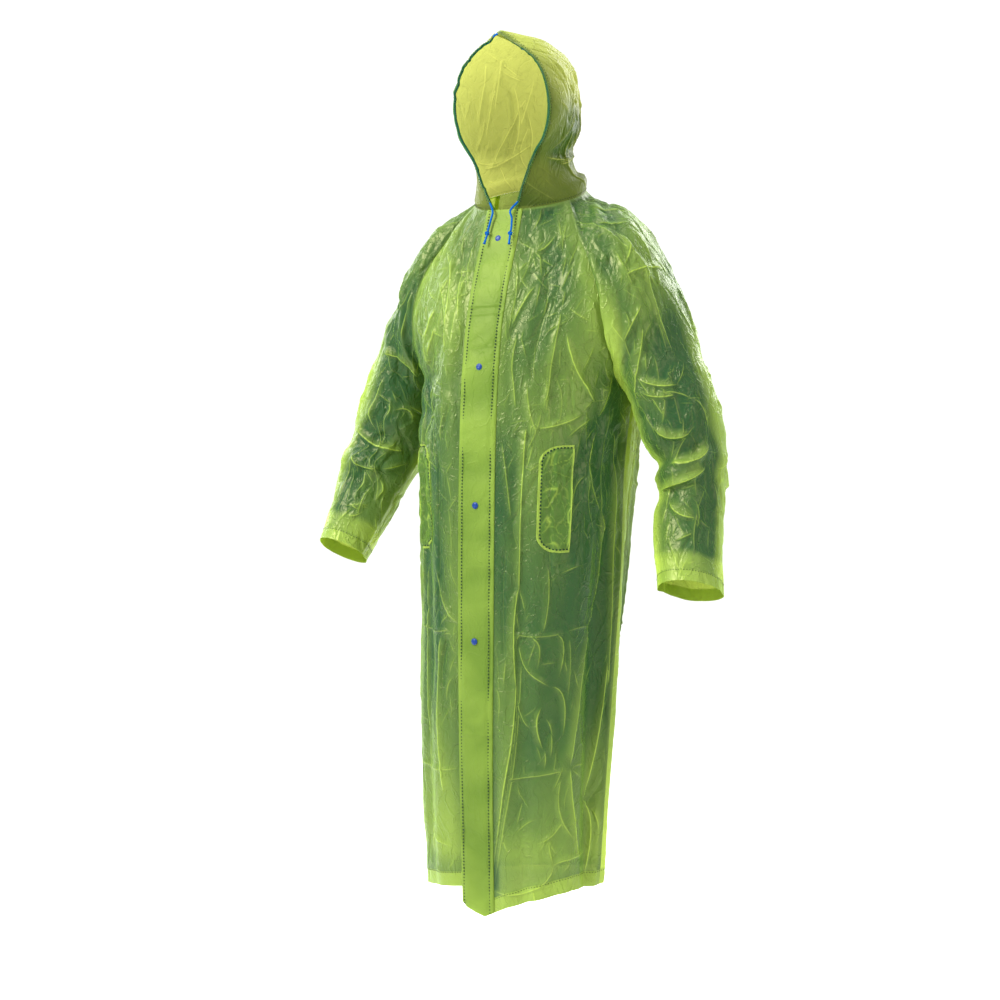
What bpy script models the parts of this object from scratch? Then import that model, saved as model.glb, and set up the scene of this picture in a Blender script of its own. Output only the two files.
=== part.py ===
"""High-visibility raincoat of thin translucent film, hooded and calf-long, open and hollow as it is worn.

Metres, +Z up. The front faces -Y and the wearer's left is +X. The origin is in the middle of the
shoulder line, where the wearer holds the coat up.

The coat is one worked-out form: rings down the torso, rings along each arm and rows up the hood.
Each cut piece is a grid of points on that form, given a wall, and drawn back a little at its seams.
"""

import math

import bmesh
import bpy
import numpy as np
from mathutils import Matrix, Vector

# ---- driving dimensions -------------------------------------------------------------------------
WALL = 0.0015
SEAM_GAP = 0.0003
LAP_DROP = 0.0022  # how far the right front lies inside the left one where they lap

NECK_HALF_WIDTH = 0.100
NECK_FRONT = np.array([0.0, -0.130, -0.022])
NECK_NAPE = np.array([0.0, 0.060, 0.035])
NECK_TURN_FRONT = 110.0  # degrees round the neck, from the nape, to the front raglan seam
NECK_TURN_BACK = 62.0
NECK_TURN_RIDGE = 86.0

PLACKET_HALF_WIDTH = 0.036
PLACKET_FLAT = 0.020  # the hood's two front edges come down to here
PLACKET_WALL = 0.0015

POCKET_ROWS = (8, 14)
POCKET_RADIUS = 0.024
POCKET_WALL = 0.0012

SNAP_RADIUS = 0.0058
SNAP_RISE = 0.0024
SNAP_HEIGHTS = (-0.0720, -0.2960, -0.5340, -0.7680)

CORD_RADIUS = 0.00175
CORD_POINT_SPACING = 0.009
KNOT_RADIUS = 0.0036
KNOT_LENGTH = 0.0070
TAIL_LENGTH = 0.018
CASING_DEPTH = 0.0035  # how far the cord lies behind the hood's front edge

FILM = (0.58, 0.76, 0.10)
FILM_HOOD = (0.74, 0.82, 0.20)
FILM_STRIP = (0.56, 0.80, 0.16)
BLUE = (0.05, 0.17, 0.58)


def table(columns, rows):
    """The named columns of a short table, as arrays."""
    return dict(zip(columns.split(), np.array(rows, float).T))


# ---- the form's tables --------------------------------------------------------------------------
# Raglan rows, from the neck to the underarm: both seams and the ridge over the shoulder between them.
# Row 0 is the neck ring itself. The wearer's right side mirrors these, its shoulder a little lower.
RAGLAN = table(
    "front_x front_y front_z  back_x back_y back_z  ridge_x ridge_y ridge_z  depth right_lower",
    [
        (0.124, -0.098, -0.055, 0.120, 0.050, -0.035, 0.135, -0.020, -0.006, 0.076, 0.007),
        (0.158, -0.117, -0.110, 0.154, 0.088, -0.100, 0.174, -0.013, -0.025, 0.104, 0.011),
        (0.182, -0.126, -0.165, 0.180, 0.098, -0.160, 0.212, -0.010, -0.062, 0.114, 0.011),
        (0.192, -0.122, -0.225, 0.191, 0.085, -0.220, 0.244, -0.010, -0.112, 0.112, 0.009),
        (0.195, -0.090, -0.285, 0.195, 0.045, -0.282, 0.275, -0.012, -0.170, 0.100, 0.005),
        (0.197, -0.020, -0.335, 0.197, -0.020, -0.335, 0.303, -0.015, -0.235, 0.085, 0.000),
    ],
)
UNDERARM = len(RAGLAN["depth"])

# Rings down each arm below the underarm: centre, half width outwards, half depth to the front, and
# how far the ring leans up at its outer side and at its front.
ARM_COLUMNS = "x y z half_width half_depth lean pitch"
LEFT_ARM = table(
    ARM_COLUMNS,
    [
        (0.288, -0.020, -0.387, 0.070, 0.078, 24, 2),
        (0.305, -0.013, -0.450, 0.060, 0.074, 14, 4),
        (0.312, -0.014, -0.500, 0.0550, 0.070, 8, 12),
        (0.319, -0.034, -0.560, 0.0580, 0.067, 6, 20),
        (0.328, -0.056, -0.618, 0.0580, 0.064, 5, 20),
        (0.343, -0.080, -0.678, 0.0560, 0.062, 4, 20),
    ],
)
RIGHT_ARM = table(
    ARM_COLUMNS,
    [
        (0.272, -0.028, -0.370, 0.070, 0.078, 24, 4),
        (0.290, -0.045, -0.436, 0.068, 0.074, 15, 16),
        (0.303, -0.075, -0.498, 0.061, 0.068, 12, 26),
        (0.311, -0.100, -0.542, 0.055, 0.062, 10, 28),
        (0.320, -0.122, -0.584, 0.050, 0.057, 10, 28),
        (0.328, -0.145, -0.625, 0.044, 0.053, 10, 28),
    ],
)
ARMS = {1: LEFT_ARM, -1: RIGHT_ARM}
CUFF = UNDERARM + len(LEFT_ARM["z"])

# Rows down the torso. A turn is how far round its quarter each panel has come at its seam, and
# fullness is the section's exponent: 2 is an ellipse, more is squarer.
TORSO = table(
    "front_y front_z  back_y back_z  turn_front turn_back fullness",
    [
        (-0.130, -0.022, 0.060, 0.035, 70, 62, 2.0),
        (-0.142, -0.058, 0.080, -0.020, 62, 58, 2.0),
        (-0.163, -0.112, 0.103, -0.090, 56, 54, 2.0),
        (-0.184, -0.167, 0.116, -0.155, 54, 54, 2.0),
        (-0.201, -0.226, 0.121, -0.222, 58, 58, 2.05),
        (-0.211, -0.286, 0.120, -0.284, 70, 70, 2.1),
        (-0.217, -0.335, 0.117, -0.335, 90, 90, 2.15),
        (-0.224, -0.450, 0.108, -0.450, 90, 90, 2.2),
        (-0.227, -0.600, 0.095, -0.600, 90, 90, 2.2),
        (-0.227, -0.750, 0.080, -0.750, 90, 90, 2.2),
        (-0.225, -0.900, 0.060, -0.900, 90, 90, 2.2),
        (-0.220, -1.050, 0.038, -1.050, 90, 90, 2.2),
        (-0.213, -1.210, 0.010, -1.210, 90, 90, 2.2),
    ],
)
# The side seam under the arm, on the same rows as the lower torso.
SIDE = table(
    "x y z",
    [
        (0.197, -0.020, -0.335),
        (0.191, -0.037, -0.450),
        (0.185, -0.052, -0.600),
        (0.180, -0.062, -0.750),
        (0.175, -0.074, -0.900),
        (0.170, -0.085, -1.050),
        (0.165, -0.095, -1.210),
    ],
)
HEM_ROW = len(TORSO["front_y"]) - 1
TORSO_AXIS = np.array([0.0, -0.060, 0.0])  # folds rise square to an ellipse of this place and shape
TORSO_SHAPE = np.array([0.190, 0.160, 1.0])

# How far the hem lies above (+) or below (-) its row, by degrees round from the front, + towards the
# wearer's left. The left front hangs lower than the right one where they lap.
HEM_LEFT = table(
    "turn rise",
    [
        (-12, -0.010),
        (-8, -0.022),
        (3, -0.036),
        (17, -0.016),
        (32, -0.004),
        (60, 0.014),
        (85, 0.014),
        (98, 0.019),
        (118, 0.040),
        (150, 0.026),
        (180, 0.014),
    ],
)
HEM_RIGHT = table("turn rise", [(-180, 0.014), (-120, 0.000), (-60, -0.002), (-12, 0.011), (10, 0.011)])

# Rows up the hood: its front edge, the crown seam that it runs back to, and its widest half width.
# Row 0 is the neck ring, so that the hood and what it is sewn to share one line.
HOOD_NECK_TURN = 180 - math.degrees(math.asin(PLACKET_FLAT / NECK_HALF_WIDTH))
HOOD_NECK_EDGE = (NECK_FRONT + NECK_NAPE) / 2 + (NECK_NAPE - NECK_FRONT) / 2 * math.cos(
    math.radians(HOOD_NECK_TURN)
)
HOOD = table(
    "edge_x edge_y edge_z  crown_y crown_z  half_width",
    [
        (PLACKET_FLAT, *HOOD_NECK_EDGE[1:], *NECK_NAPE[1:], NECK_HALF_WIDTH),
        (0.0410, -0.1360, 0.0280, 0.046, 0.060, 0.080),
        (0.0590, -0.1380, 0.0670, 0.042, 0.095, 0.0735),
        (0.0805, -0.1400, 0.1060, 0.060, 0.135, 0.0875),
        (0.0925, -0.1430, 0.1500, 0.062, 0.175, 0.0960),
        (0.0885, -0.1450, 0.1920, 0.050, 0.215, 0.0945),
        (0.0710, -0.1480, 0.2300, 0.016, 0.250, 0.0830),
        (0.0400, -0.1530, 0.2580, -0.045, 0.275, 0.0600),
        (0.0130, -0.1580, 0.2740, -0.105, 0.280, 0.0290),
        (0.0040, -0.1620, 0.2810, -0.150, 0.282, 0.0080),
    ],
)
HOOD_TOP = len(HOOD["edge_x"]) - 1

# The drawcord's free ends, from below the hood's edge, out over the neck seam and down the placket.
LEFT_CORD = table(
    "x y z",
    [
        (0.0215, -0.1258, -0.0120),
        (0.0155, -0.1300, -0.0140),
        (0.0155, -0.1365, -0.0155),
        (0.0190, -0.1405, -0.0235),
        (0.0235, -0.1440, -0.0370),
        (0.0262, -0.1500, -0.0530),
        (0.0266, -0.1532, -0.0610),
    ],
)
RIGHT_CORD = table(
    "x y z",
    [
        (-0.0215, -0.1258, -0.0125),
        (-0.0150, -0.1305, -0.0145),
        (-0.0150, -0.1370, -0.0162),
        (-0.0168, -0.1405, -0.0245),
        (-0.0182, -0.1440, -0.0380),
        (-0.0192, -0.1502, -0.0530),
        (-0.0192, -0.1532, -0.0595),
    ],
)

# The largest folds: degrees round at the top and the hem end, rows between which each one runs, its
# half width in degrees, and its height out of the cloth (a trough is below 0).
TORSO_FOLDS = table(
    "turn_top turn_hem row_top row_hem half_width height",
    [
        (-24, -28, 3.0, 12.6, 11, 0.006),
        (-45, -40, 3.5, 12.0, 10, -0.006),
        (22, 28, 6.5, 12.6, 11, -0.007),
        (62, 56, 6.5, 12.6, 11, 0.006),
        (77, 76, 7.0, 12.6, 11, -0.013),
        (91, 92, 7.0, 12.6, 11, 0.009),
        (110, 112, 6.6, 12.6, 13, -0.016),
        (134, 136, 5.0, 12.6, 14, 0.012),
        (156, 158, 6.0, 12.6, 12, -0.018),
        (178, 180, 4.5, 12.6, 13, 0.011),
        (-160, -158, 5.5, 12.6, 12, -0.015),
        (-137, -134, 4.5, 12.6, 13, 0.012),
        (-114, -112, 6.4, 12.6, 12, -0.018),
        (-92, -92, 7.0, 12.6, 11, 0.009),
        (-77, -76, 7.0, 12.6, 10, -0.010),
    ],
)
# Folds across a sleeve: row on the arm, where round it (0 the front seam, 0.5 the outer side), half
# extents along and round, height.
SLEEVE_FOLDS = table(
    "row round half_rows half_round height",
    [
        (7.3, 0.20, 0.55, 0.30, 0.006),
        (8.1, 0.16, 0.50, 0.28, -0.008),
        (8.8, 0.22, 0.50, 0.30, 0.007),
        (9.5, 0.15, 0.50, 0.25, -0.006),
        (8.5, 0.72, 0.80, 0.22, 0.005),
    ],
)


# ---- the form -----------------------------------------------------------------------------------
def spline(values, row):
    """A smooth curve through the rows' values, read at any row."""
    values = np.asarray(values, float)
    row = np.clip(np.asarray(row, float), 0, len(values) - 1)
    low = np.minimum(row.astype(int), len(values) - 2)
    slope = np.gradient(values, axis=0)
    t = row - low
    if values.ndim > 1:
        t = t[..., None]
    return (
        (2 * t**3 - 3 * t**2 + 1) * values[low]
        + (t**3 - 2 * t**2 + t) * slope[low]
        + (3 * t**2 - 2 * t**3) * values[low + 1]
        + (t**3 - t**2) * slope[low + 1]
    )


def smooth(x):
    x = np.clip(x, 0, 1)
    return x * x * (3 - 2 * x)


def bump(x):
    """A soft ridge: 1 at 0 and 0 from -1 and 1 outwards."""
    return 0.5 + 0.5 * np.cos(math.pi * np.clip(x, -1, 1))


def unit(v):
    return v / np.maximum(np.linalg.norm(v, axis=-1, keepdims=True), 1e-12)


def neck(turn):
    """A point of the neck seam's ring, at degrees round from the nape."""
    turn = np.radians(turn)[..., None]
    middle, half = (NECK_FRONT + NECK_NAPE) / 2, (NECK_NAPE - NECK_FRONT) / 2
    return middle + half * np.cos(turn) + np.array([NECK_HALF_WIDTH, 0, 0]) * np.sin(turn)


def arm_rings(side):
    """Centre, outward half axis, forward half axis and closing angle of each ring of a sleeve."""
    raglan = {}
    turns = {"front": NECK_TURN_FRONT, "back": NECK_TURN_BACK, "ridge": NECK_TURN_RIDGE}
    for name, turn in turns.items():
        below = np.stack([RAGLAN[f"{name}_{axis}"] for axis in "xyz"], -1)
        if side < 0 and name == "ridge":
            below[:, 2] -= RAGLAN["right_lower"]
        raglan[name] = np.vstack([neck(np.array([turn])), below])
    span = raglan["front"] - raglan["back"]
    half = np.linalg.norm(span, axis=-1) / 2
    depth = np.maximum(np.concatenate([[0], RAGLAN["depth"]]), half)
    fore = unit(span) * depth[:, None]
    fore[-1] = (0, -depth[-1], 0)
    close = np.arccos(half / depth)
    middle = (raglan["front"] + raglan["back"]) / 2
    out = (raglan["ridge"] - middle) / (1 + np.sin(close))[:, None]
    centre = middle + out * np.sin(close)[:, None]

    arm = ARMS[side]
    lean, pitch = np.radians(arm["lean"]), np.radians(arm["pitch"])
    level = np.zeros_like(lean)
    arm_centre = np.stack([arm["x"], arm["y"], arm["z"]], -1)
    arm_out = np.stack([np.cos(lean), level, np.sin(lean)], -1) * arm["half_width"][:, None]
    arm_fore = np.stack([level, -np.cos(pitch), np.sin(pitch)], -1) * arm["half_depth"][:, None]
    rings = [
        np.vstack([centre, arm_centre]),
        np.vstack([out, arm_out]),
        np.vstack([fore, arm_fore]),
        np.concatenate([close, np.full(len(lean), math.pi / 2)]),
    ]
    for ring in rings[:3]:
        ring[:, 0] *= side
    return rings


RINGS = {side: arm_rings(side) for side in (1, -1)}


def sleeve_section(side, row, part):
    """A sleeve's ring at `row`, `part` of the way from its front seam round to its back seam."""
    centre, out, fore, close = (spline(values, row) for values in RINGS[side])
    close = np.where(np.asarray(row) >= UNDERARM, math.pi / 2, close)
    angle = (-close + part * (math.pi + 2 * close))[..., None]
    return centre + fore * np.cos(angle) + out * np.sin(angle)


def sleeve(side, row, part):
    """A point of a sleeve. Near the neck its section eases into the neck seam's own ring."""
    row, part = np.broadcast_arrays(np.asarray(row, float), np.asarray(part, float))
    point = sleeve_section(side, row, part)
    ring = neck(NECK_TURN_FRONT + (NECK_TURN_BACK - NECK_TURN_FRONT) * part) * np.array([side, 1, 1])
    ease = np.clip(1 - row / 2, 0, 1) ** 2
    point = point + (ring - sleeve_section(side, row * 0, part)) * ease[..., None]
    centre = spline(RINGS[side][0], row)
    height = sum(
        fold_height * bump((row - fold_row) / half_rows) * bump((part - fold_round) / half_round)
        for fold_row, fold_round, half_rows, half_round, fold_height in zip(*SLEEVE_FOLDS.values())
    )
    return point + unit(point - centre) * height[..., None]


def seam(side, row, part):
    """The torso panels' outer edge: the raglan seam, then the side seam under the arm."""
    below = np.stack([spline(SIDE[axis], row - UNDERARM) for axis in "xyz"], -1)
    below = below * np.array([side, 1, 1])
    raglan = sleeve_section(side, np.minimum(row, UNDERARM), part)
    return np.where((row <= UNDERARM)[..., None], raglan, below)


def torso_section(turn, row, panel):
    """The torso at signed degrees round from the front (+ is the wearer's left), without folds."""
    side = np.where(turn >= 0, 1, -1)
    ahead = np.full(turn.shape, panel != "back")
    t = {name: spline(values, row) for name, values in TORSO.items()}
    level = np.zeros_like(row)
    front = np.stack([level, t["front_y"], t["front_z"]], -1)
    back = np.stack([level, t["back_y"], t["back_z"]], -1)
    centre = np.where(ahead[..., None], front, back)
    quarter = np.radians(np.where(ahead, t["turn_front"], t["turn_back"]))
    angle = np.where(ahead, np.abs(turn), 180 - np.abs(turn)) / 90 * quarter
    edge = np.empty(centre.shape)
    for way in (1, -1):
        for forward, part in ((True, 0.0), (False, 1.0)):
            chosen = (side == way) & (ahead == forward)
            edge[chosen] = seam(way, row, np.full_like(row, part))[chosen]
    power = 2 / t["fullness"]
    across = (np.sin(angle) / np.sin(quarter)) ** power
    last = np.maximum(np.cos(quarter), 0) ** power
    along = (np.maximum(np.cos(angle), 0) ** power - last) / (1 - last)
    point = edge + (centre - edge) * along[..., None]
    point[..., 0] = edge[..., 0] * across
    return point


def torso(turn, row, panel):
    """A point of the torso, in the panel "left", "right" or "back", with its folds and uneven hem."""
    turn, row = np.broadcast_arrays(np.asarray(turn, float), np.asarray(row, float))
    point = torso_section(turn, row, panel)
    outward = unit((point - TORSO_AXIS) / TORSO_SHAPE**2 * [1, 1, 0])
    height = np.zeros_like(row)
    for top, hem, row_top, row_hem, half_width, fold in zip(*TORSO_FOLDS.values()):
        way = np.clip((row - row_top) / (row_hem - row_top), 0, 1)
        middle = top + (hem - top) * way
        away = (turn - middle + 180) % 360 - 180
        run = smooth(4 * way) * smooth((row_hem - row) * 1.2)
        height += fold * bump(away / half_width) * run
    at_seam = smooth((1 - np.abs(np.abs(turn) - 90) / 25)) * smooth(UNDERARM + 1.5 - row)
    point = point + outward * (height * (1 - at_seam))[..., None]
    hem = HEM_LEFT if panel == "left" else HEM_RIGHT
    rise = np.interp(turn, hem["turn"], hem["rise"])
    if panel == "back":
        rise = np.where(turn > 0, np.interp(turn, HEM_LEFT["turn"], HEM_LEFT["rise"]), rise)
    point[..., 2] += rise * smooth((row - UNDERARM) / (HEM_ROW - UNDERARM))
    return point


def torso_turn(x, row):
    """Degrees round at which the front reaches `x`, on each row."""
    side = 1 if x >= 0 else -1
    edge_x = np.abs(seam(side, row, np.zeros_like(row))[..., 0])
    quarter = np.radians(spline(TORSO["turn_front"], row))
    share = (abs(x) / edge_x) ** (spline(TORSO["fullness"], row) / 2) * np.sin(quarter)
    return side * np.arcsin(share) / quarter * 90


def hood(side, row, turn, turn_share):
    """A point of a hood half: `turn` is degrees round at the neck, and further up the columns
    spread evenly, as `turn_share` says."""
    h = {name: spline(values, row) for name, values in HOOD.items()}
    last = math.pi - np.arcsin(h["edge_x"] / h["half_width"])
    spread = smooth(row / 3)
    angle = last * (turn / HOOD_NECK_TURN * (1 - spread) + turn_share * spread)
    way = (1 - np.cos(angle)) / (1 - np.cos(last))
    x = side * h["half_width"] * np.sin(angle)
    y = h["crown_y"] + (h["edge_y"] - h["crown_y"]) * way
    z = h["crown_z"] + (h["edge_z"] - h["crown_z"]) * way
    return np.stack([x, y, z], -1)


# ---- grids of the cut pieces --------------------------------------------------------------------
RAGLAN_ROWS = np.arange(UNDERARM + 1.0)
BODY_ROWS = np.array([6.45, 6.85, 6.93, 7.08, 7.50, 7.91, 8.04, 8.10])
LOWER_ROWS = np.array([8.55, 9.0, 9.5, 10.05, 10.6, 11.1, 11.55, HEM_ROW])
ROWS = np.concatenate([RAGLAN_ROWS, BODY_ROWS, LOWER_ROWS])
ELBOW = UNDERARM + 4  # the ring at the right elbow where its sleeve is in two lengths
ARM_ROWS = np.array([6.5, 7, 7.4, 7.75, 8.1, 8.45, 8.8, 9.15, 9.55, 10, 11, CUFF])
HOOD_ROWS = np.array([0, 0.4, 1, 2, 3, 3.5, 4, 4.5, 5, 5.5, 6, 6.5, 7, 8, HOOD_TOP])
LAP_WIDTHS = (-PLACKET_HALF_WIDTH, -PLACKET_FLAT, PLACKET_FLAT, PLACKET_HALF_WIDTH)
FRONT_SHARES = np.array([0.147, 0.285, 0.398, 0.523, 0.674, 0.837, 1])
BACK_TURNS = np.linspace(90, 180, 9)
SLEEVE_PARTS = np.linspace(0, 1, 11)


def front_turns(side, rows):
    """Degrees round of a front's columns: at set widths over the lap, then in shares to the side."""
    lap = np.stack([torso_turn(side * width, rows) for width in LAP_WIDTHS], -1)
    last = lap[:, -1:]
    return np.hstack([lap, last + (side * 90 - last) * FRONT_SHARES])


def front_grid(side):
    turns = front_turns(side, ROWS)
    grid = torso(turns, ROWS[:, None], "left" if side > 0 else "right")
    if side < 0:
        grid[:, : len(LAP_WIDTHS), 1] += LAP_DROP
    return grid


def back_grid():
    turns, rows = np.meshgrid(np.concatenate([BACK_TURNS, -BACK_TURNS[-2::-1]]), ROWS)
    return torso(turns, rows, "back")


def sleeve_grid(side, first=0, last=None):
    parts, rows = np.meshgrid(SLEEVE_PARTS, np.concatenate([RAGLAN_ROWS, ARM_ROWS])[first:last])
    return sleeve(side, rows, parts)


def hood_grid(side):
    """A hood half. At the neck its columns are those of the pieces below it."""
    over_back = (180 - BACK_TURNS[::-1]) / 90 * NECK_TURN_BACK
    over_sleeve = NECK_TURN_FRONT + (NECK_TURN_BACK - NECK_TURN_FRONT) * SLEEVE_PARTS[::-1]
    over_front = front_turns(1, np.zeros(1))[0, :1:-1] / 90 * (180 - NECK_TURN_FRONT)
    turns = np.concatenate([over_back, over_sleeve[1:], 180 - over_front[1:]])
    shares, _ = np.meshgrid(np.linspace(0, 1, len(turns)), HOOD_ROWS)
    turns, rows = np.meshgrid(turns, HOOD_ROWS)
    grid = hood(side, rows, turns, shares)
    if side < 0:
        grid[0, -2:, 1] += LAP_DROP
    return grid


# ---- from grids to cut pieces with a wall -------------------------------------------------------
def grid_faces(shape, closed_from):
    """Quads over a grid of points. From the row `closed_from` its last column is its first one."""
    number = np.arange(shape[0] * shape[1]).reshape(shape)
    if closed_from is not None:
        number[closed_from:, -1] = number[closed_from:, 0]
    corners = (number[:-1, :-1], number[1:, :-1], number[1:, 1:], number[:-1, 1:])
    return np.stack([corner.ravel() for corner in corners], -1)


class Piece:
    """One cut piece: its points, its quads facing out, and where each point's wall goes."""

    def __init__(self, grid, closed_from=None):
        self.shape = grid.shape[:2]
        self.points = grid.reshape(-1, 3)
        self.faces = grid_faces(self.shape, closed_from)
        self.keys = [tuple(key) for key in np.round(self.points * 1e5).astype(int).tolist()]
        self.normals = np.zeros_like(self.points)

    def face_along(self, ways):
        """Turns the quads over if they face against `ways`, one direction for each."""
        if np.sum(self.face_normals() * ways) < 0:
            self.faces = self.faces[:, ::-1]

    def face_normals(self):
        a, b, c, d = (self.points[self.faces[:, k]] for k in range(4))
        return np.cross(c - a, d - b)

    def edges(self):
        """Each edge that only one quad uses, in that quad's direction."""
        used = {}
        for face in self.faces.tolist():
            for a, b in zip(face, face[1:] + face[:1]):
                used[(a, b)] = True
        return [edge for edge in used if edge[::-1] not in used]

    def grid(self, values):
        return values.reshape(*self.shape, 3)


def share_normals(pieces):
    """Gives the points where pieces meet one wall direction, so that their seams are parallel."""
    total = {}
    for piece in pieces.values():
        for face, normal in zip(piece.faces.tolist(), piece.face_normals()):
            for corner in face:
                key = piece.keys[corner]
                total[key] = total.get(key, 0) + normal
    for piece in pieces.values():
        piece.normals = unit(np.array([total.get(key, (0, 0, 1)) for key in piece.keys], float))


def draw_back(pieces):
    """Moves each piece's seam edges half a seam gap into the piece."""
    owners = {}
    for name, piece in pieces.items():
        for key in set(piece.keys):
            owners.setdefault(key, set()).add(name)
    for piece in pieces.values():
        ways = {}
        for a, b in piece.edges():
            if len(owners[piece.keys[a]]) > 1 and len(owners[piece.keys[b]]) > 1:
                for corner in (a, b):
                    along = piece.points[b] - piece.points[a]
                    inward = unit(np.cross(piece.normals[corner], along))
                    ways.setdefault(corner, []).append(inward)
        moved = piece.points.copy()
        for corner, inward in ways.items():
            pull = np.linalg.pinv(np.array(inward), rcond=0.2) @ np.full(len(inward), SEAM_GAP * 0.6)
            moved[corner] += pull
        piece.points = moved


def material(name, colour, roughness):
    made = bpy.data.materials.new(name)
    made.use_nodes = True
    shader = made.node_tree.nodes["Principled BSDF"]
    shader.inputs["Base Color"].default_value = (*colour, 1)
    shader.inputs["Roughness"].default_value = roughness
    shader.inputs["Metallic"].default_value = 0.0
    return made


def add_object(name, mesh, colour, roughness):
    mesh.materials.append(material(name, colour, roughness))
    made = bpy.data.objects.new(name, mesh)
    bpy.context.scene.collection.objects.link(made)
    return made


def add_wall(name, piece, colour, wall=WALL, lift=0.0):
    """A piece's quads as a closed wall, `lift` outside the form's own surface."""
    bm = bmesh.new()
    used = sorted(set(piece.faces.ravel().tolist()))
    sheets = []
    for height in (lift + wall / 2, lift - wall / 2):
        points = piece.points + piece.normals * height
        sheets.append({k: bm.verts.new(points[k].tolist()) for k in used})
    outer, inner = sheets
    for face in piece.faces.tolist():
        bm.faces.new([outer[k] for k in face])
        bm.faces.new([inner[k] for k in reversed(face)])
    for a, b in piece.edges():
        bm.faces.new([outer[b], outer[a], inner[a], inner[b]])
    bmesh.ops.triangulate(bm, faces=bm.faces)
    mesh = bpy.data.meshes.new(name)
    bm.to_mesh(mesh)
    bm.free()
    mesh.shade_smooth()
    mesh.set_sharp_from_angle(angle=math.radians(50))
    return add_object(name, mesh, colour, roughness=0.25)


def cut(grid, inside, closed_from=None):
    """A piece facing away from what `inside` gives for each of its quads."""
    piece = Piece(grid, closed_from)
    middle = piece.points[piece.faces].mean(1)
    piece.face_along(middle - inside(middle))
    return piece


def strip_from(piece, rows, columns):
    """A smaller piece on some of another's rows and columns, with its points and wall directions."""
    strip = Piece(piece.grid(piece.points)[rows, columns])
    strip.normals = piece.grid(piece.normals)[rows, columns].reshape(-1, 3)
    strip.face_along(strip.normals[strip.faces].mean(1))
    return strip


def torso_axis(points):
    return points * [0, 0, 1] + [0, -0.06, 0]


def hood_axis(points):
    return points * [0, 0, 0.8] + [0, -0.05, 0]


def arm_axis(side):
    rings = RINGS[side][0]

    def nearest(points):
        away = np.linalg.norm(points[:, None] - rings[None], axis=-1)
        return rings[np.argmin(away, axis=1)]

    return nearest


def add_cloth():
    """The fronts, back, sleeves and hood halves. Returns them by name."""
    pieces = {
        "front_left": cut(front_grid(1), torso_axis),
        "front_right": cut(front_grid(-1), torso_axis),
        "back": cut(back_grid(), torso_axis),
        "sleeve_left": cut(sleeve_grid(1), arm_axis(1), closed_from=UNDERARM),
        "sleeve_right": cut(sleeve_grid(-1, last=ELBOW + 1), arm_axis(-1), closed_from=UNDERARM),
        "sleeve_right_lower": cut(sleeve_grid(-1, ELBOW), arm_axis(-1), closed_from=0),
        "hood_left": cut(hood_grid(1), hood_axis),
        "hood_right": cut(hood_grid(-1), hood_axis),
    }
    share_normals(pieces)
    draw_back(pieces)
    for name, piece in pieces.items():
        add_wall(name, piece, FILM_HOOD if name.startswith("hood") else FILM)
    return pieces


# ---- what lies on the cloth ---------------------------------------------------------------------
def add_placket(front):
    """The several-layer strip over the left front's free edge."""
    strip = strip_from(front, slice(0, len(ROWS)), slice(0, len(LAP_WIDTHS)))
    lift = WALL / 2 + SEAM_GAP + PLACKET_WALL / 2
    add_wall("placket", strip, FILM_STRIP, PLACKET_WALL, lift)
    return strip, lift + PLACKET_WALL / 2


def add_pocket(name, front):
    """A D-shaped patch, straight at the side and rounded towards the placket."""
    first_column = len(LAP_WIDTHS) + 1
    top, bottom = POCKET_ROWS
    pocket = strip_from(front, slice(top, bottom + 1), slice(first_column, first_column + 3))
    points, normals = pocket.grid(pocket.points), pocket.grid(pocket.normals)
    heights = points[:, 0, 2].copy()
    into = np.clip(POCKET_RADIUS - np.minimum(heights[0] - heights, heights - heights[-1]), 0, None)
    inset = POCKET_RADIUS - np.sqrt(POCKET_RADIUS**2 - into**2)
    share = (inset / np.linalg.norm(points[:, 1] - points[:, 0], axis=-1))[:, None]
    for values in (points, normals):
        values[:, 0] += (values[:, 1] - values[:, 0]) * share
    pocket.normals = unit(pocket.normals)
    add_wall(name, pocket, FILM, POCKET_WALL, WALL / 2 + SEAM_GAP + POCKET_WALL / 2)


def turned(name, profile, place, colour, steps=14):
    """A body turned round its own Z axis from (radius, height) points, and placed."""
    bm = bmesh.new()
    line = [bm.verts.new((radius, 0, height)) for radius, height in profile]
    edges = [bm.edges.new(pair) for pair in zip(line, line[1:])]
    bmesh.ops.spin(
        bm, geom=line + edges, axis=(0, 0, 1), cent=(0, 0, 0), angle=math.tau, steps=steps, use_merge=True
    )
    bmesh.ops.remove_doubles(bm, verts=bm.verts, dist=1e-6)
    bmesh.ops.recalc_face_normals(bm, faces=bm.faces)
    mesh = bpy.data.meshes.new(name)
    bm.to_mesh(mesh)
    bm.free()
    mesh.shade_smooth()
    mesh.set_sharp_from_angle(angle=math.radians(40))
    add_object(name, mesh, colour, roughness=0.35).matrix_world = place


def facing(point, way):
    """A place at `point` whose Z axis points along `way`."""
    turn = Vector(way).to_track_quat("Z", "Y")
    return Matrix.Translation(Vector(point)) @ turn.to_matrix().to_4x4()


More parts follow.
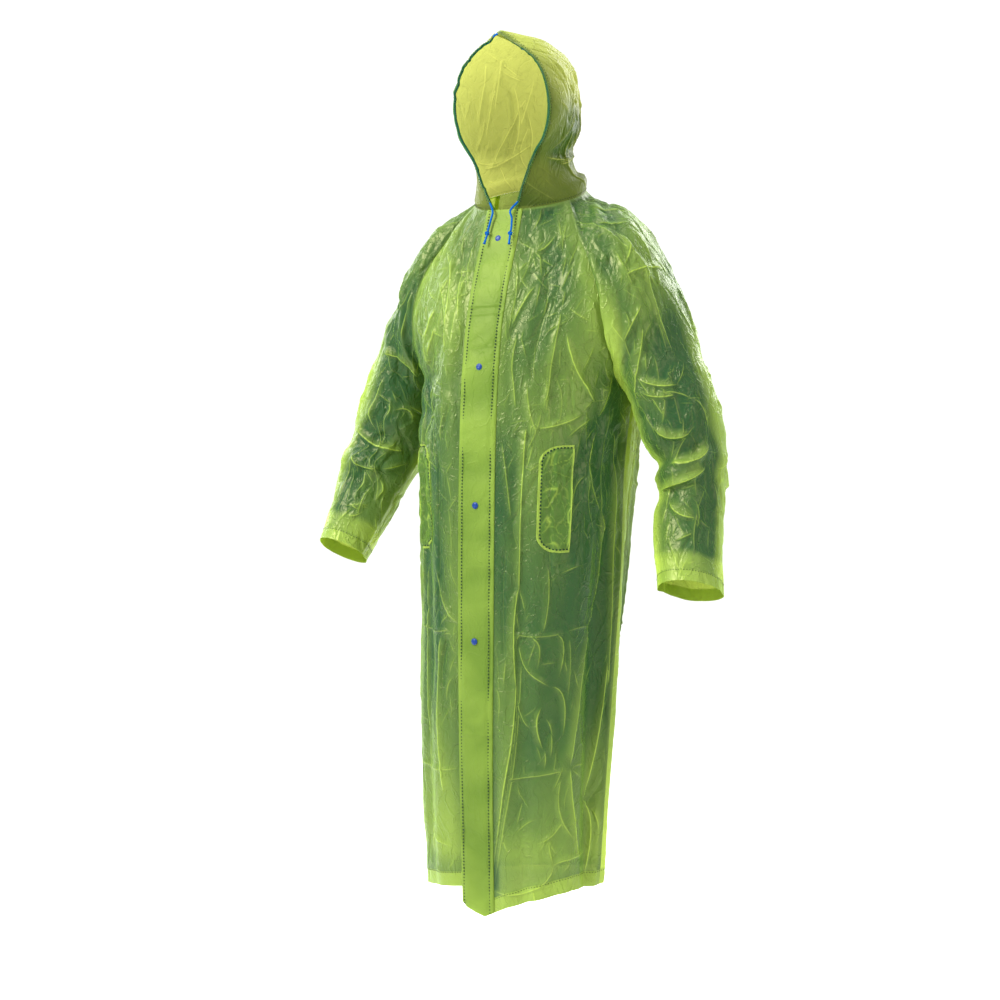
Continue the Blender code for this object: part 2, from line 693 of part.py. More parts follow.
def add_snaps(strip, outside):
    """Press-stud caps on the placket's flat middle."""
    profile = [
        (0, 0),
        (SNAP_RADIUS * 0.94, 0),
        (SNAP_RADIUS, SNAP_RISE * 0.22),
        (SNAP_RADIUS * 0.93, SNAP_RISE * 0.55),
        (SNAP_RADIUS * 0.66, SNAP_RISE * 0.90),
        (SNAP_RADIUS * 0.30, SNAP_RISE),
        (0, SNAP_RISE * 0.94),
    ]
    middle = strip.grid(strip.points + strip.normals * outside)[:, 1:3]
    heights = middle[..., 2].mean(1)
    for number, height in enumerate(SNAP_HEIGHTS, 1):
        row = int(np.argmax(heights < height)) - 1
        share = (heights[row] - height) / (heights[row] - heights[row + 1])
        upper, lower = middle[row], middle[row + 1]
        point = (upper * (1 - share) + lower * share).mean(0)
        out = unit(np.cross(lower.mean(0) - upper.mean(0), upper[1] - upper[0]))
        out = out * -np.sign(out[1])
        turned(f"snap_{number}", profile, facing(point + out * SEAM_GAP, out), BLUE)


def add_tube(name, route):
    """A round cord along a smooth curve through the route's points."""
    route = np.array(route, float)
    rows = np.linspace(0, len(route) - 1, 40 * len(route))
    path = spline(route, rows)
    length = np.concatenate([[0], np.cumsum(np.linalg.norm(np.diff(path, axis=0), axis=1))])
    count = max(4, round(length[-1] / CORD_POINT_SPACING) + 1)
    even = np.interp(np.linspace(0, length[-1], count), length, rows)
    curve = bpy.data.curves.new(name, "CURVE")
    curve.dimensions = "3D"
    curve.bevel_depth = CORD_RADIUS
    curve.bevel_resolution = 2
    curve.use_fill_caps = True
    line = curve.splines.new("POLY")
    line.points.add(count - 1)
    for point, place in zip(line.points, spline(route, even)):
        point.co = (*place, 1)
    add_object(name, curve, BLUE, roughness=0.8)


def add_cords(pieces):
    """The drawcord inside the hood's edge, and its two free ends with their knots."""
    inside = WALL / 2 + SEAM_GAP + CORD_RADIUS + 0.0008
    held = []
    for name in ("hood_left", "hood_right"):
        piece = pieces[name]
        edge, behind = (piece.grid(piece.points)[1:-1, column] for column in (-1, -3))
        normal = piece.grid(piece.normals)[1:-1, -1]
        held.append(edge + unit(behind - edge) * CASING_DEPTH - normal * inside)
    left, right = held
    add_tube("drawcord", np.vstack([left, right[::-1]]))
    knot = [
        (0, 0),
        (CORD_RADIUS, 0),
        (KNOT_RADIUS * 0.9, KNOT_LENGTH * 0.22),
        (KNOT_RADIUS, KNOT_LENGTH * 0.5),
        (KNOT_RADIUS * 0.85, KNOT_LENGTH * 0.8),
        (CORD_RADIUS, KNOT_LENGTH),
        (CORD_RADIUS, KNOT_LENGTH + TAIL_LENGTH * 0.8),
        (CORD_RADIUS * 1.25, KNOT_LENGTH + TAIL_LENGTH),
        (0, KNOT_LENGTH + TAIL_LENGTH),
    ]
    for name, exit_from, route in (("left", left, LEFT_CORD), ("right", right, RIGHT_CORD)):
        way = unit(exit_from[0] - exit_from[1])
        start = [exit_from[0] + way * SEAM_GAP, exit_from[0] + way * 0.004]
        fall = np.stack([route["x"], route["y"], route["z"]], -1)
        add_tube(f"drawcord_end_{name}", np.vstack([start, fall]))
        down = unit(fall[-1] - fall[-2])
        turned(f"drawcord_knot_{name}", knot, facing(fall[-1] + down * SEAM_GAP, down), BLUE, steps=12)


for old in list(bpy.data.objects):
    bpy.data.objects.remove(old, do_unlink=True)
cloth = add_cloth()
placket, placket_face = add_placket(cloth["front_left"])
for which in ("left", "right"):
    add_pocket(f"pocket_{which}", cloth[f"front_{which}"])
add_snaps(placket, placket_face)
add_cords(cloth)
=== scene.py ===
"""Looks of the hooded raincoat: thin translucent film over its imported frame.

Metres, +Z up, the front faces -Y and the wearer's left is +X. Each cut piece is laid again as a fine
grid on its solid's form, and then gets its creases, crumples, hems and stitching. Heights are
measured along its own outward direction. The tables are in millimetres and degrees.
"""

import math

import bpy
import numpy as np
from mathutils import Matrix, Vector, geometry


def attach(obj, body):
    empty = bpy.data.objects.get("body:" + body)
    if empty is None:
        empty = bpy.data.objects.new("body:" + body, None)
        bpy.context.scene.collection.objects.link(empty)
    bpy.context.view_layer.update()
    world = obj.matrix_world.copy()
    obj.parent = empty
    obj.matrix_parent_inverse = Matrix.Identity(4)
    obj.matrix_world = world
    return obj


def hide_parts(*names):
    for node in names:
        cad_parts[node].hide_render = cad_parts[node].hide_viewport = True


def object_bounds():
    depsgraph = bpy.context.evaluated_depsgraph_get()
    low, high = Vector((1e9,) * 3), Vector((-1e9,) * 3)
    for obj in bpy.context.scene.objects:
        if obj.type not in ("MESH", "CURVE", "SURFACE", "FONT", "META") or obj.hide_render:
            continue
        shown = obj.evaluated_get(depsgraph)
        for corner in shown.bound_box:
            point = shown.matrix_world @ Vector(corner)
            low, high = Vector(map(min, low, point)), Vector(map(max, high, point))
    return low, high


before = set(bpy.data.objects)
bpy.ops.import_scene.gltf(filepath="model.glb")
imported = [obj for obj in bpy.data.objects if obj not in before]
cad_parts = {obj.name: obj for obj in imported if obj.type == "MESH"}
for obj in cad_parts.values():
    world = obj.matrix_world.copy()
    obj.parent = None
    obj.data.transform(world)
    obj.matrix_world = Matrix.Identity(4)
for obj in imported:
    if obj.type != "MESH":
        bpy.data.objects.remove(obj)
cad_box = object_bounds()

# ---- sizes shared with the solids ---------------------------------------------------------------
LAP_DROP = 0.0022  # how far the right front lies inside the left one where they lap
NECK_HALF_WIDTH = 0.100
NECK_FRONT = np.array([0.0, -0.130, -0.022])
NECK_NAPE = np.array([0.0, 0.060, 0.035])
NECK_MIDDLE, NECK_HALF = (NECK_FRONT + NECK_NAPE) / 2, (NECK_NAPE - NECK_FRONT) / 2
NECK_TURNS = {"front": 110.0, "back": 62.0, "ridge": 86.0}  # degrees from the nape to each raglan line
PLACKET_HALF_WIDTH = 0.036
PLACKET_FLAT = 0.020  # the hood's two front edges come down to here
SNAP_RADIUS = 0.0058
SNAP_HEIGHTS = (-0.0720, -0.2960, -0.5340, -0.7680)
CORD_RADIUS = 0.00175
KNOT_LENGTH = 0.0070
TAIL_LENGTH = 0.018
NOT_LENGTHS = (  # the tables' columns in degrees, rows or shares
    "lean pitch turn turn_front turn_back fullness turn_top turn_hem row_top row_hem half_turn "
    "row round half_rows half_round"
).split()


def table(columns, rows):
    """The named columns of a short table, as arrays. Lengths turn from millimetres to metres."""
    made = dict(zip(columns.split(), np.array(rows, float).T))
    return {name: values / (1 if name in NOT_LENGTHS else 1000) for name, values in made.items()}


def stacked(source, columns):
    return np.stack([source[name] for name in columns.split()], -1)


# ---- the form's tables --------------------------------------------------------------------------
# Raglan rows, from the neck to the underarm: both seams and the ridge over the shoulder between them.
# The wearer's right side mirrors these, its shoulder a little lower.
RAGLAN_COLUMNS = "front_x front_y front_z  back_x back_y back_z  ridge_x ridge_y ridge_z  depth right_lower"
RAGLAN = table(RAGLAN_COLUMNS, [
    (124, -98, -55, 120, 50, -35, 135, -20, -6, 76, 7),
    (158, -117, -110, 154, 88, -100, 174, -13, -25, 104, 11),
    (182, -126, -165, 180, 98, -160, 212, -10, -62, 114, 11),
    (192, -122, -225, 191, 85, -220, 244, -10, -112, 112, 9),
    (195, -90, -285, 195, 45, -282, 275, -12, -170, 100, 5),
    (197, -20, -335, 197, -20, -335, 303, -15, -235, 85, 0),
])
UNDERARM = len(RAGLAN["depth"])

# Rings down each arm below the underarm: centre, half width outwards, half depth to the front, and
# how far the ring leans up at its outer side and at its front.
ARM_COLUMNS = "x y z half_width half_depth lean pitch"
LEFT_ARM = table(ARM_COLUMNS, [
    (288, -20, -387, 70, 78, 24, 2),
    (305, -13, -450, 60, 74, 14, 4),
    (312, -14, -500, 55, 70, 8, 12),
    (319, -34, -560, 58, 67, 6, 20),
    (328, -56, -618, 58, 64, 5, 20),
    (343, -80, -678, 56, 62, 4, 20),
])
RIGHT_ARM = table(ARM_COLUMNS, [
    (272, -28, -370, 70, 78, 24, 4),
    (290, -45, -436, 68, 74, 15, 16),
    (303, -75, -498, 61, 68, 12, 26),
    (311, -100, -542, 55, 62, 10, 28),
    (320, -122, -584, 50, 57, 10, 28),
    (328, -145, -625, 44, 53, 10, 28),
])
CUFF = UNDERARM + len(LEFT_ARM["z"])

# Rows down the torso. A turn is how far round its quarter each panel has come at its seam, and
# fullness is the section's exponent: 2 is an ellipse, more is squarer.
TORSO = table("front_y front_z  back_y back_z  turn_front turn_back fullness", [
    (-130, -22, 60, 35, 70, 62, 2),
    (-142, -58, 80, -20, 62, 58, 2),
    (-163, -112, 103, -90, 56, 54, 2),
    (-184, -167, 116, -155, 54, 54, 2),
    (-201, -226, 121, -222, 58, 58, 2.05),
    (-211, -286, 120, -284, 70, 70, 2.1),
    (-217, -335, 117, -335, 90, 90, 2.15),
    (-224, -450, 108, -450, 90, 90, 2.2),
    (-227, -600, 95, -600, 90, 90, 2.2),
    (-227, -750, 80, -750, 90, 90, 2.2),
    (-225, -900, 60, -900, 90, 90, 2.2),
    (-220, -1050, 38, -1050, 90, 90, 2.2),
    (-213, -1210, 10, -1210, 90, 90, 2.2),
])
# The side seam under the arm, on the same rows as the lower torso.
SIDE = table("x y z", [
    (197, -20, -335),
    (191, -37, -450),
    (185, -52, -600),
    (180, -62, -750),
    (175, -74, -900),
    (170, -85, -1050),
    (165, -95, -1210),
])
HEM_ROW = len(TORSO["front_y"]) - 1
TORSO_AXIS = np.array([0.0, -0.060, 0.0])  # folds rise square to an ellipse of this place and shape
TORSO_SHAPE = np.array([0.190, 0.160, 1.0])

# How far the hem lies above (+) or below (-) its row, by degrees round from the front, + towards the
# wearer's left. The left front hangs lower than the right one where they lap.
HEM_LEFT = table("turn rise", [
    (-12, -10),
    (-8, -22),
    (3, -36),
    (17, -16),
    (32, -4),
    (60, 14),
    (85, 14),
    (98, 19),
    (118, 40),
    (150, 26),
    (180, 14),
])
HEM_RIGHT = table("turn rise", [(-180, 14), (-120, 0), (-60, -2), (-12, 11), (10, 11)])

# Rows up the hood: its front edge, the crown seam that it runs back to, and its widest half width.
# Row 0 is the neck ring, so that the hood and what it is sewn to share one line.
HOOD_NECK_TURN = 180 - math.degrees(math.asin(PLACKET_FLAT / NECK_HALF_WIDTH))
HOOD_NECK_EDGE = NECK_MIDDLE + NECK_HALF * math.cos(math.radians(HOOD_NECK_TURN))
HOOD = table("edge_x edge_y edge_z  crown_y crown_z  half_width", [
    (20, *HOOD_NECK_EDGE[1:] * 1000, 60, 35, 100),
    (41, -136, 28, 46, 60, 80),
    (59, -138, 67, 42, 95, 73.5),
    (80.5, -140, 106, 60, 135, 87.5),
    (92.5, -143, 150, 62, 175, 96),
    (88.5, -145, 192, 50, 215, 94.5),
    (71, -148, 230, 16, 250, 83),
    (40, -153, 258, -45, 275, 60),
    (13, -158, 274, -105, 280, 29),
    (4, -162, 281, -150, 282, 8),
])
HOOD_TOP = len(HOOD["edge_x"]) - 1

# The drawcord's free ends, from over the neck seam down the placket.
LEFT_CORD = table("x y z", [
    (19, -140.5, -23.5),
    (23.5, -144, -37),
    (26.2, -150, -53),
    (26.6, -153.2, -61),
])
RIGHT_CORD = table("x y z", [
    (-16.8, -140.5, -24.5),
    (-18.2, -144, -38),
    (-19.2, -150.2, -53),
    (-19.2, -153.2, -59.5),
])

# The largest folds: degrees round at the top and the hem end, rows between which each one runs, its
# half width in degrees, and its height out of the cloth (a trough is below 0).
TORSO_FOLDS = table("turn_top turn_hem row_top row_hem half_turn height", [
    (-24, -28, 3, 12.6, 11, 6),
    (-45, -40, 3.5, 12, 10, -6),
    (22, 28, 6.5, 12.6, 11, -7),
    (62, 56, 6.5, 12.6, 11, 6),
    (77, 76, 7, 12.6, 11, -13),
    (91, 92, 7, 12.6, 11, 9),
    (110, 112, 6.6, 12.6, 13, -16),
    (134, 136, 5, 12.6, 14, 12),
    (156, 158, 6, 12.6, 12, -18),
    (178, 180, 4.5, 12.6, 13, 11),
    (-160, -158, 5.5, 12.6, 12, -15),
    (-137, -134, 4.5, 12.6, 13, 12),
    (-114, -112, 6.4, 12.6, 12, -18),
    (-92, -92, 7, 12.6, 11, 9),
    (-77, -76, 7, 12.6, 10, -10),
])
# Folds across a sleeve: row on the arm, where round it (0 the front seam, 0.5 the outer side), half
# extents along and round, height.
SLEEVE_FOLDS = table("row round half_rows half_round height", [
    (7.3, 0.2, 0.55, 0.3, 6),
    (8.1, 0.16, 0.5, 0.28, -8),
    (8.8, 0.22, 0.5, 0.3, 7),
    (9.5, 0.15, 0.5, 0.25, -6),
    (8.5, 0.72, 0.8, 0.22, 5),
])


# ---- the form -----------------------------------------------------------------------------------
def spline(values, row):
    """A smooth curve through the rows' values, read at any row."""
    values = np.asarray(values, float)
    row = np.clip(np.asarray(row, float), 0, len(values) - 1)
    low = np.minimum(row.astype(int), len(values) - 2)
    slope = np.gradient(values, axis=0)
    t = row - low
    if values.ndim > 1:
        t = t[..., None]
    ends = (2 * t**3 - 3 * t**2 + 1) * values[low] + (3 * t**2 - 2 * t**3) * values[low + 1]
    return ends + (t**3 - 2 * t**2 + t) * slope[low] + (t**3 - t**2) * slope[low + 1]


def smooth(x):
    x = np.clip(x, 0, 1)
    return x * x * (3 - 2 * x)


def bump(x):
    """A soft ridge: 1 at 0 and 0 from -1 and 1 outwards."""
    return 0.5 + 0.5 * np.cos(math.pi * np.clip(x, -1, 1))


def unit(v):
    return v / np.maximum(np.linalg.norm(v, axis=-1, keepdims=True), 1e-12)


def run_of(path):
    """How far along a path each of its points lies."""
    return np.concatenate([[0], np.cumsum(np.linalg.norm(np.diff(path, axis=0), axis=1))])


def neck(turn):
    """A point of the neck seam's ring, at degrees round from the nape."""
    turn = np.radians(turn)[..., None]
    return NECK_MIDDLE + NECK_HALF * np.cos(turn) + np.array([NECK_HALF_WIDTH, 0, 0]) * np.sin(turn)


def arm_rings(side, arm):
    """Centre, outward half axis, forward half axis and closing angle of each ring of a sleeve."""
    raglan = {}
    for name, turn in NECK_TURNS.items():
        below = stacked(RAGLAN, f"{name}_x {name}_y {name}_z")
        if side < 0 and name == "ridge":
            below[:, 2] -= RAGLAN["right_lower"]
        raglan[name] = np.vstack([neck(np.array([turn])), below])
    span = raglan["front"] - raglan["back"]
    half = np.linalg.norm(span, axis=-1) / 2
    depth = np.maximum(np.concatenate([[0], RAGLAN["depth"]]), half)
    fore = unit(span) * depth[:, None]
    fore[-1] = (0, -depth[-1], 0)
    close = np.arccos(half / depth)
    middle = (raglan["front"] + raglan["back"]) / 2
    out = (raglan["ridge"] - middle) / (1 + np.sin(close))[:, None]
    centre = middle + out * np.sin(close)[:, None]
    lean, pitch = np.radians(arm["lean"]), np.radians(arm["pitch"])
    level = np.zeros_like(lean)
    arm_out = np.stack([np.cos(lean), level, np.sin(lean)], -1) * arm["half_width"][:, None]
    arm_fore = np.stack([level, -np.cos(pitch), np.sin(pitch)], -1) * arm["half_depth"][:, None]
    rings = [
        np.vstack([centre, stacked(arm, "x y z")]) * [side, 1, 1],
        np.vstack([out, arm_out]) * [side, 1, 1],
        np.vstack([fore, arm_fore]) * [side, 1, 1],
        np.concatenate([close, np.full(len(lean), math.pi / 2)]),
    ]
    return rings


RINGS = {1: arm_rings(1, LEFT_ARM), -1: arm_rings(-1, RIGHT_ARM)}


def sleeve_section(side, row, part):
    """A sleeve's ring at `row`, `part` of the way from its front seam round to its back seam."""
    centre, out, fore, close = (spline(values, row) for values in RINGS[side])
    close = np.where(np.asarray(row) >= UNDERARM, math.pi / 2, close)
    angle = (-close + part * (math.pi + 2 * close))[..., None]
    return centre + fore * np.cos(angle) + out * np.sin(angle)


def sleeve(side, row, part):
    """A point of a sleeve. Near the neck its section eases into the neck seam's own ring."""
    row, part = np.broadcast_arrays(np.asarray(row, float), np.asarray(part, float))
    point = sleeve_section(side, row, part)
    ring = neck(NECK_TURNS["front"] + (NECK_TURNS["back"] - NECK_TURNS["front"]) * part) * [side, 1, 1]
    ease = np.clip(1 - row / 2, 0, 1) ** 2
    point = point + (ring - sleeve_section(side, row * 0, part)) * ease[..., None]
    height = sum(
        fold_height * bump((row - fold_row) / half_rows) * bump((part - fold_round) / half_round)
        for fold_row, fold_round, half_rows, half_round, fold_height in zip(*SLEEVE_FOLDS.values())
    )
    return point + unit(point - spline(RINGS[side][0], row)) * height[..., None]


def seam(side, row, part):
    """The torso panels' outer edge: the raglan seam, then the side seam under the arm."""
    below = spline(stacked(SIDE, "x y z"), row - UNDERARM) * [side, 1, 1]
    raglan = sleeve_section(side, np.minimum(row, UNDERARM), part)
    return np.where((row <= UNDERARM)[..., None], raglan, below)


def torso_section(turn, row, panel):
    """The torso at signed degrees round from the front (+ is the wearer's left), without folds."""
    end = "back" if panel == "back" else "front"
    t = {name: spline(values, row) for name, values in TORSO.items()}
    centre = np.stack([np.zeros_like(row), t[f"{end}_y"], t[f"{end}_z"]], -1)
    quarter = np.radians(t[f"turn_{end}"])
    angle = (np.abs(turn) if end == "front" else 180 - np.abs(turn)) / 90 * quarter
    left, right = (seam(side, row, np.full_like(row, end == "back")) for side in (1, -1))
    edge = np.where((turn >= 0)[..., None], left, right)
    power = 2 / t["fullness"]
    across = (np.sin(angle) / np.sin(quarter)) ** power
    last = np.maximum(np.cos(quarter), 0) ** power
    along = (np.maximum(np.cos(angle), 0) ** power - last) / (1 - last)
    point = edge + (centre - edge) * along[..., None]
    point[..., 0] = edge[..., 0] * across
    return point


def torso(turn, row, panel):
    """A point of the torso, in the panel "left", "right" or "back", with its folds and uneven hem."""
    turn, row = np.broadcast_arrays(np.asarray(turn, float), np.asarray(row, float))
    point = torso_section(turn, row, panel)
    outward = unit((point - TORSO_AXIS) / TORSO_SHAPE**2 * [1, 1, 0])
    height = np.zeros_like(row)
    for top, hem, row_top, row_hem, half_turn, fold in zip(*TORSO_FOLDS.values()):
        way = np.clip((row - row_top) / (row_hem - row_top), 0, 1)
        away = (turn - (top + (hem - top) * way) + 180) % 360 - 180
        height += fold * bump(away / half_turn) * smooth(4 * way) * smooth((row_hem - row) * 1.2)
    at_seam = smooth(1 - np.abs(np.abs(turn) - 90) / 25) * smooth(UNDERARM + 1.5 - row)
    point = point + outward * (height * (1 - at_seam))[..., None]
    left, right = (np.interp(turn, hem["turn"], hem["rise"]) for hem in (HEM_LEFT, HEM_RIGHT))
    rise = np.where((panel == "left") | ((panel == "back") & (turn > 0)), left, right)
    point[..., 2] += rise * smooth((row - UNDERARM) / (HEM_ROW - UNDERARM))
    return point


def torso_turn(x, row):
    """Degrees round at which the front reaches `x`, on each row."""
    side = 1 if x >= 0 else -1
    edge_x = np.abs(seam(side, row, np.zeros_like(row))[..., 0])
    quarter = np.radians(spline(TORSO["turn_front"], row))
    share = (abs(x) / edge_x) ** (spline(TORSO["fullness"], row) / 2) * np.sin(quarter)
    return side * np.arcsin(share) / quarter * 90


def hood(side, row, turn, turn_share):
    """A point of a hood half: `turn` is degrees round at the neck, and further up the columns
    spread evenly, as `turn_share` says."""
    h = {name: spline(values, row) for name, values in HOOD.items()}
    last = math.pi - np.arcsin(h["edge_x"] / h["half_width"])
    spread = smooth(row / 3)
    angle = last * (turn / HOOD_NECK_TURN * (1 - spread) + turn_share * spread)
    way = (1 - np.cos(angle)) / (1 - np.cos(last))
    y = h["crown_y"] + (h["edge_y"] - h["crown_y"]) * way
    z = h["crown_z"] + (h["edge_z"] - h["crown_z"]) * way
    return np.stack([side * h["half_width"] * np.sin(angle), y, z], -1)


# ---- crumples and creases -----------------------------------------------------------------------
FACETS = 40  # facets along each side of a map of crumples
FACET_PIXELS = 20


def facet_map(seed):
    """A square, repeating map of flat facets at random heights, as crumpled film has them."""
    rng = np.random.default_rng(seed)
    corner = np.stack(np.meshgrid(np.arange(FACETS), np.arange(FACETS)), -1).reshape(-1, 2)
    points = corner + rng.uniform(0.05, 0.95, corner.shape)
    heights = rng.uniform(-1, 1, len(points))
    shifts = [(x, y) for x in (-1, 0, 1) for y in (-1, 0, 1)]
    points = np.vstack([points + np.array(shift) * FACETS for shift in shifts])
    heights = np.tile(heights, len(shifts))
    near = np.all((points > -3) & (points < FACETS + 3), axis=1)
    points, heights = points[near], heights[near]
    faces = geometry.delaunay_2d_cdt([Vector(p) for p in points], [], [], 0, 1e-6)[2]
    size = FACETS * FACET_PIXELS
    made = np.zeros((size, size))
    for face in faces:
        place = points[list(face)] * FACET_PIXELS
        low = np.maximum(np.floor(place.min(0)), 0).astype(int)
        high = np.minimum(np.ceil(place.max(0)) + 1, size).astype(int)
        if np.any(high <= low):
            continue
        x, y = np.meshgrid(np.arange(low[0], high[0]), np.arange(low[1], high[1]), indexing="ij")
        (ax, ay), (bx, by) = place[1] - place[0], place[2] - place[0]
        area = ax * by - ay * bx
        s = ((x - place[0, 0]) * by - (y - place[0, 1]) * bx) / area
        t = ((y - place[0, 1]) * ax - (x - place[0, 0]) * ay) / area
        inside = (s >= 0) & (t >= 0) & (s + t <= 1)
        value = heights[face[0]] * (1 - s - t) + heights[face[1]] * s + heights[face[2]] * t
        made[low[0] : high[0], low[1] : high[1]][inside] = value[inside]
    return made


def softened(values, reach):
    """A repeating map blurred over `reach` facets."""
    steps = max(1, round(reach * FACET_PIXELS))
    for axis in (0, 0, 1, 1):
        values = sum(np.roll(values, k, axis) for k in range(-steps, steps + 1)) / (2 * steps + 1)
    return values


MAPS = [facet_map(seed) for seed in (3, 8, 21)]
SOFT_MAPS = [softened(values, 0.06) for values in MAPS]
SWELLS = [softened(values, 0.40) * 2.2 for values in MAPS]


def between(values, i, j, s, t, i1, j1):
    """Grid values at part s from row i to i1 and part t from column j to j1."""
    start = values[i, j] * (1 - t) + values[i, j1] * t
    return start * (1 - s) + (values[i1, j] * (1 - t) + values[i1, j1] * t) * s


def read_map(values, u, v):
    """A map at (u, v) facets, between its pixels."""
    u, v, size = u * FACET_PIXELS, v * FACET_PIXELS, len(values)
    i, j = np.floor(u).astype(int), np.floor(v).astype(int)
    return between(values, i % size, j % size, u - i, v - j, (i + 1) % size, (j + 1) % size)


CREASE_ENDS = 0.022  # how far a crease runs from each end before it has its full height
CREASE_BRIGHT = 0.0042  # the height from which its painted highlight line is brightest
HALO_FROM, HALO_RANGE = 0.0045, 0.004  # heights over which its flatter side gets a painted highlight too
LINE_REACH, LINE_SOFT = 0.006, 0.003  # where its painted highlight line ends, and how far before that it fades


class Panel:
    """A cut piece of film: its fine grid, its outward directions, and how far each point lies along
    it (across and down, in metres) and from its seams."""

    def __init__(self, name, place, last_row, inside, seams, cell, tube_from=None):
        self.name, self.tube_from = name, tube_from
        trial = np.linspace(0, last_row, 300)
        run = run_of(place(trial, np.full(300, 0.5)))
        self.rows = np.interp(np.linspace(0, run[-1], round(run[-1] / cell) + 1), run, trial)
        wide = place(np.linspace(0, last_row, 30)[:, None], np.linspace(0, 1, 60)[None, :])
        width = np.linalg.norm(np.diff(wide, axis=1), axis=-1).sum(1).max()
        self.shares = np.linspace(0, 1, round(width / cell) + 1)
        self.base = place(self.rows[:, None], self.shares[None, :])
        self.z = self.base[..., 2]
        self.out = unit(np.cross(np.gradient(self.base, axis=1), np.gradient(self.base, axis=0)))
        if np.sum(self.out * (self.base - inside(self.base))) < 0:
            self.out = -self.out
        self.cells = [np.linalg.norm(np.diff(self.base, axis=axis), axis=-1) for axis in (0, 1)]
        self.across = np.pad(np.cumsum(self.cells[1], axis=1), ((0, 0), (1, 0)))
        self.down = np.pad(np.cumsum(self.cells[0], axis=0), ((1, 0), (0, 0)))
        last, bottom = self.across[:, -1:] - self.across, self.down[-1:] - self.down
        self.edges = {"first": self.across, "last": last, "top": self.down, "bottom": bottom}
        self.seam_distance = np.min([self.edges[name] for name in seams], axis=0)
        row, rim = unit(self.base[:, -1] - self.base[:, -2]), unit(np.gradient(self.base[:, -1], axis=0))
        # how much further along a row a place lies than it is from the last edge
        self.slant = 1 / np.clip(np.linalg.norm(np.cross(row, rim), axis=-1), 0.3, 1)
        # Height out of the form, how much the film is brightened, to 1, by painted light, random tone and
        # doubled film, and how much the nearest crease's painted highlight line shines, then how far that
        # crease is, and on which side.
        self.height, self.glow, self.painted_shine = np.zeros((3, *self.z.shape))
        self.line = np.ones(self.z.shape)

    def points(self):
        return self.base + self.out * self.height[..., None]

    def at(self, rows, shares, lift=0.0):
        """Points of the film at any rows and shares, `lift` metres outside it, and its outward way."""
        rows, shares = np.broadcast_arrays(np.asarray(rows, float), np.asarray(shares, float))
        i = np.interp(rows, self.rows, np.arange(len(self.rows)))
        j = np.interp(shares, self.shares, np.arange(len(self.shares)))
        k = np.minimum(i.astype(int), len(self.rows) - 2)
        m = np.minimum(j.astype(int), len(self.shares) - 2)
        place = (k, m, (i - k)[..., None], (j - m)[..., None], k + 1, m + 1)
        out = unit(between(self.out, *place))
        return between(self.points(), *place) + out * np.asarray(lift)[..., None], out

    def crumple(self, chart, size, stretch, lean, height, where=1.0):
        """Adds facets of `size` metres, longer by `stretch` along a direction `lean` degrees off down."""
        c, s = math.cos(math.radians(lean)), math.sin(math.radians(lean))
        seed = len(self.name) * 1.7 + size * 900
        u = (self.across * c + self.down * s) / size + seed
        v = (self.down * c - self.across * s) / (size * stretch) + seed * 0.6
        self.height += read_map(chart, u, v) * height * where

    def crease(self, rows, x_zero, glow):
        """Adds creases that bend from their first point by their second to their third. Each is a
        ridge or trough, steeper on one side and pointed at its ends. Each also gets painted highlights:
        a thin bright line along it, fainter along a trough, and a lighter painted halo on its flatter side."""
        x, z = self.across - x_zero[:, None], self.z
        for ax, az, bx, bz, cx, cz, width, height in rows:
            t = np.linspace(0, 1, 9)[:, None]
            mid = 2 * np.array([bx, bz]) - (np.array([ax, az]) + [cx, cz]) / 2
            line = (1 - t) ** 2 * [ax, az] + 2 * t * (1 - t) * mid + t**2 * [cx, cz]
            (x_low, z_low), (x_high, z_high) = line.min(0) - 1.8 * width, line.max(0) + 1.8 * width
            near = (x > x_low) & (x < x_high) & (z > z_low) & (z < z_high)
            if not near.any():
                continue
            px, pz = x[near], z[near]
            best, along, beside = np.full(px.shape, 9.0), np.zeros(px.shape), np.zeros(px.shape)
            for k in range(len(line) - 1):
                (qx, qz), (dx, dz) = line[k], line[k + 1] - line[k]
                way = np.clip(((px - qx) * dx + (pz - qz) * dz) / (dx * dx + dz * dz), 0, 1)
                away = np.hypot(px - qx - way * dx, pz - qz - way * dz)
                closer = away < best
                best = np.where(closer, away, best)
                along = np.where(closer, (k + way) / (len(line) - 1), along)
                beside = np.where(closer, (px - qx) * dz - (pz - qz) * dx, beside)
            length = run_of(line)[-1]
            ends = smooth(along * length / CREASE_ENDS) * smooth((1 - along) * length / CREASE_ENDS)
            steep = 1 if height * (cx - ax) + 0.3 * abs(height) * (cz - az) >= 0 else -1
            side = np.where(beside * steep > 0, 0.65, 1.7)
            profile = np.clip(1 - best / (width * side * (0.45 + 0.55 * np.sin(math.pi * along))), 0, 1)
            self.height[near] += height * ends * profile**2 * (1.6 - 0.6 * profile)
            # painted highlight: the crease's thin bright line, and a lighter halo on its flatter side
            painted_light = ends * glow * min(1, abs(height) / CREASE_BRIGHT) * (1 if height > 0 else 0.25)
            share = 0.20 + 0.60 * min(max(height - HALO_FROM, 0) / HALO_RANGE, 1)
            painted_halo = share * painted_light * np.clip(1 - best / (1.3 * width), 0, 1) * (beside * steep < 0)
            self.glow[near] = np.maximum(self.glow[near], painted_halo)
            painted_shine = painted_light * smooth((LINE_REACH - best) / LINE_SOFT)
            nearest = painted_shine > self.painted_shine[near]
            self.line[near] = np.where(nearest, best * np.sign(beside), self.line[near])
            self.painted_shine[near] = np.where(nearest, painted_shine, self.painted_shine[near])

    def still(self, distances, reach, least=0.0):
        """Calms the cloth, its painted light and its painted highlight lines to `least` of what they were
        within `reach` of a place.
        """
        calm = least + (1 - least) * smooth(distances / reach)
        for values in (self.height, self.glow, self.painted_shine):
            values *= calm


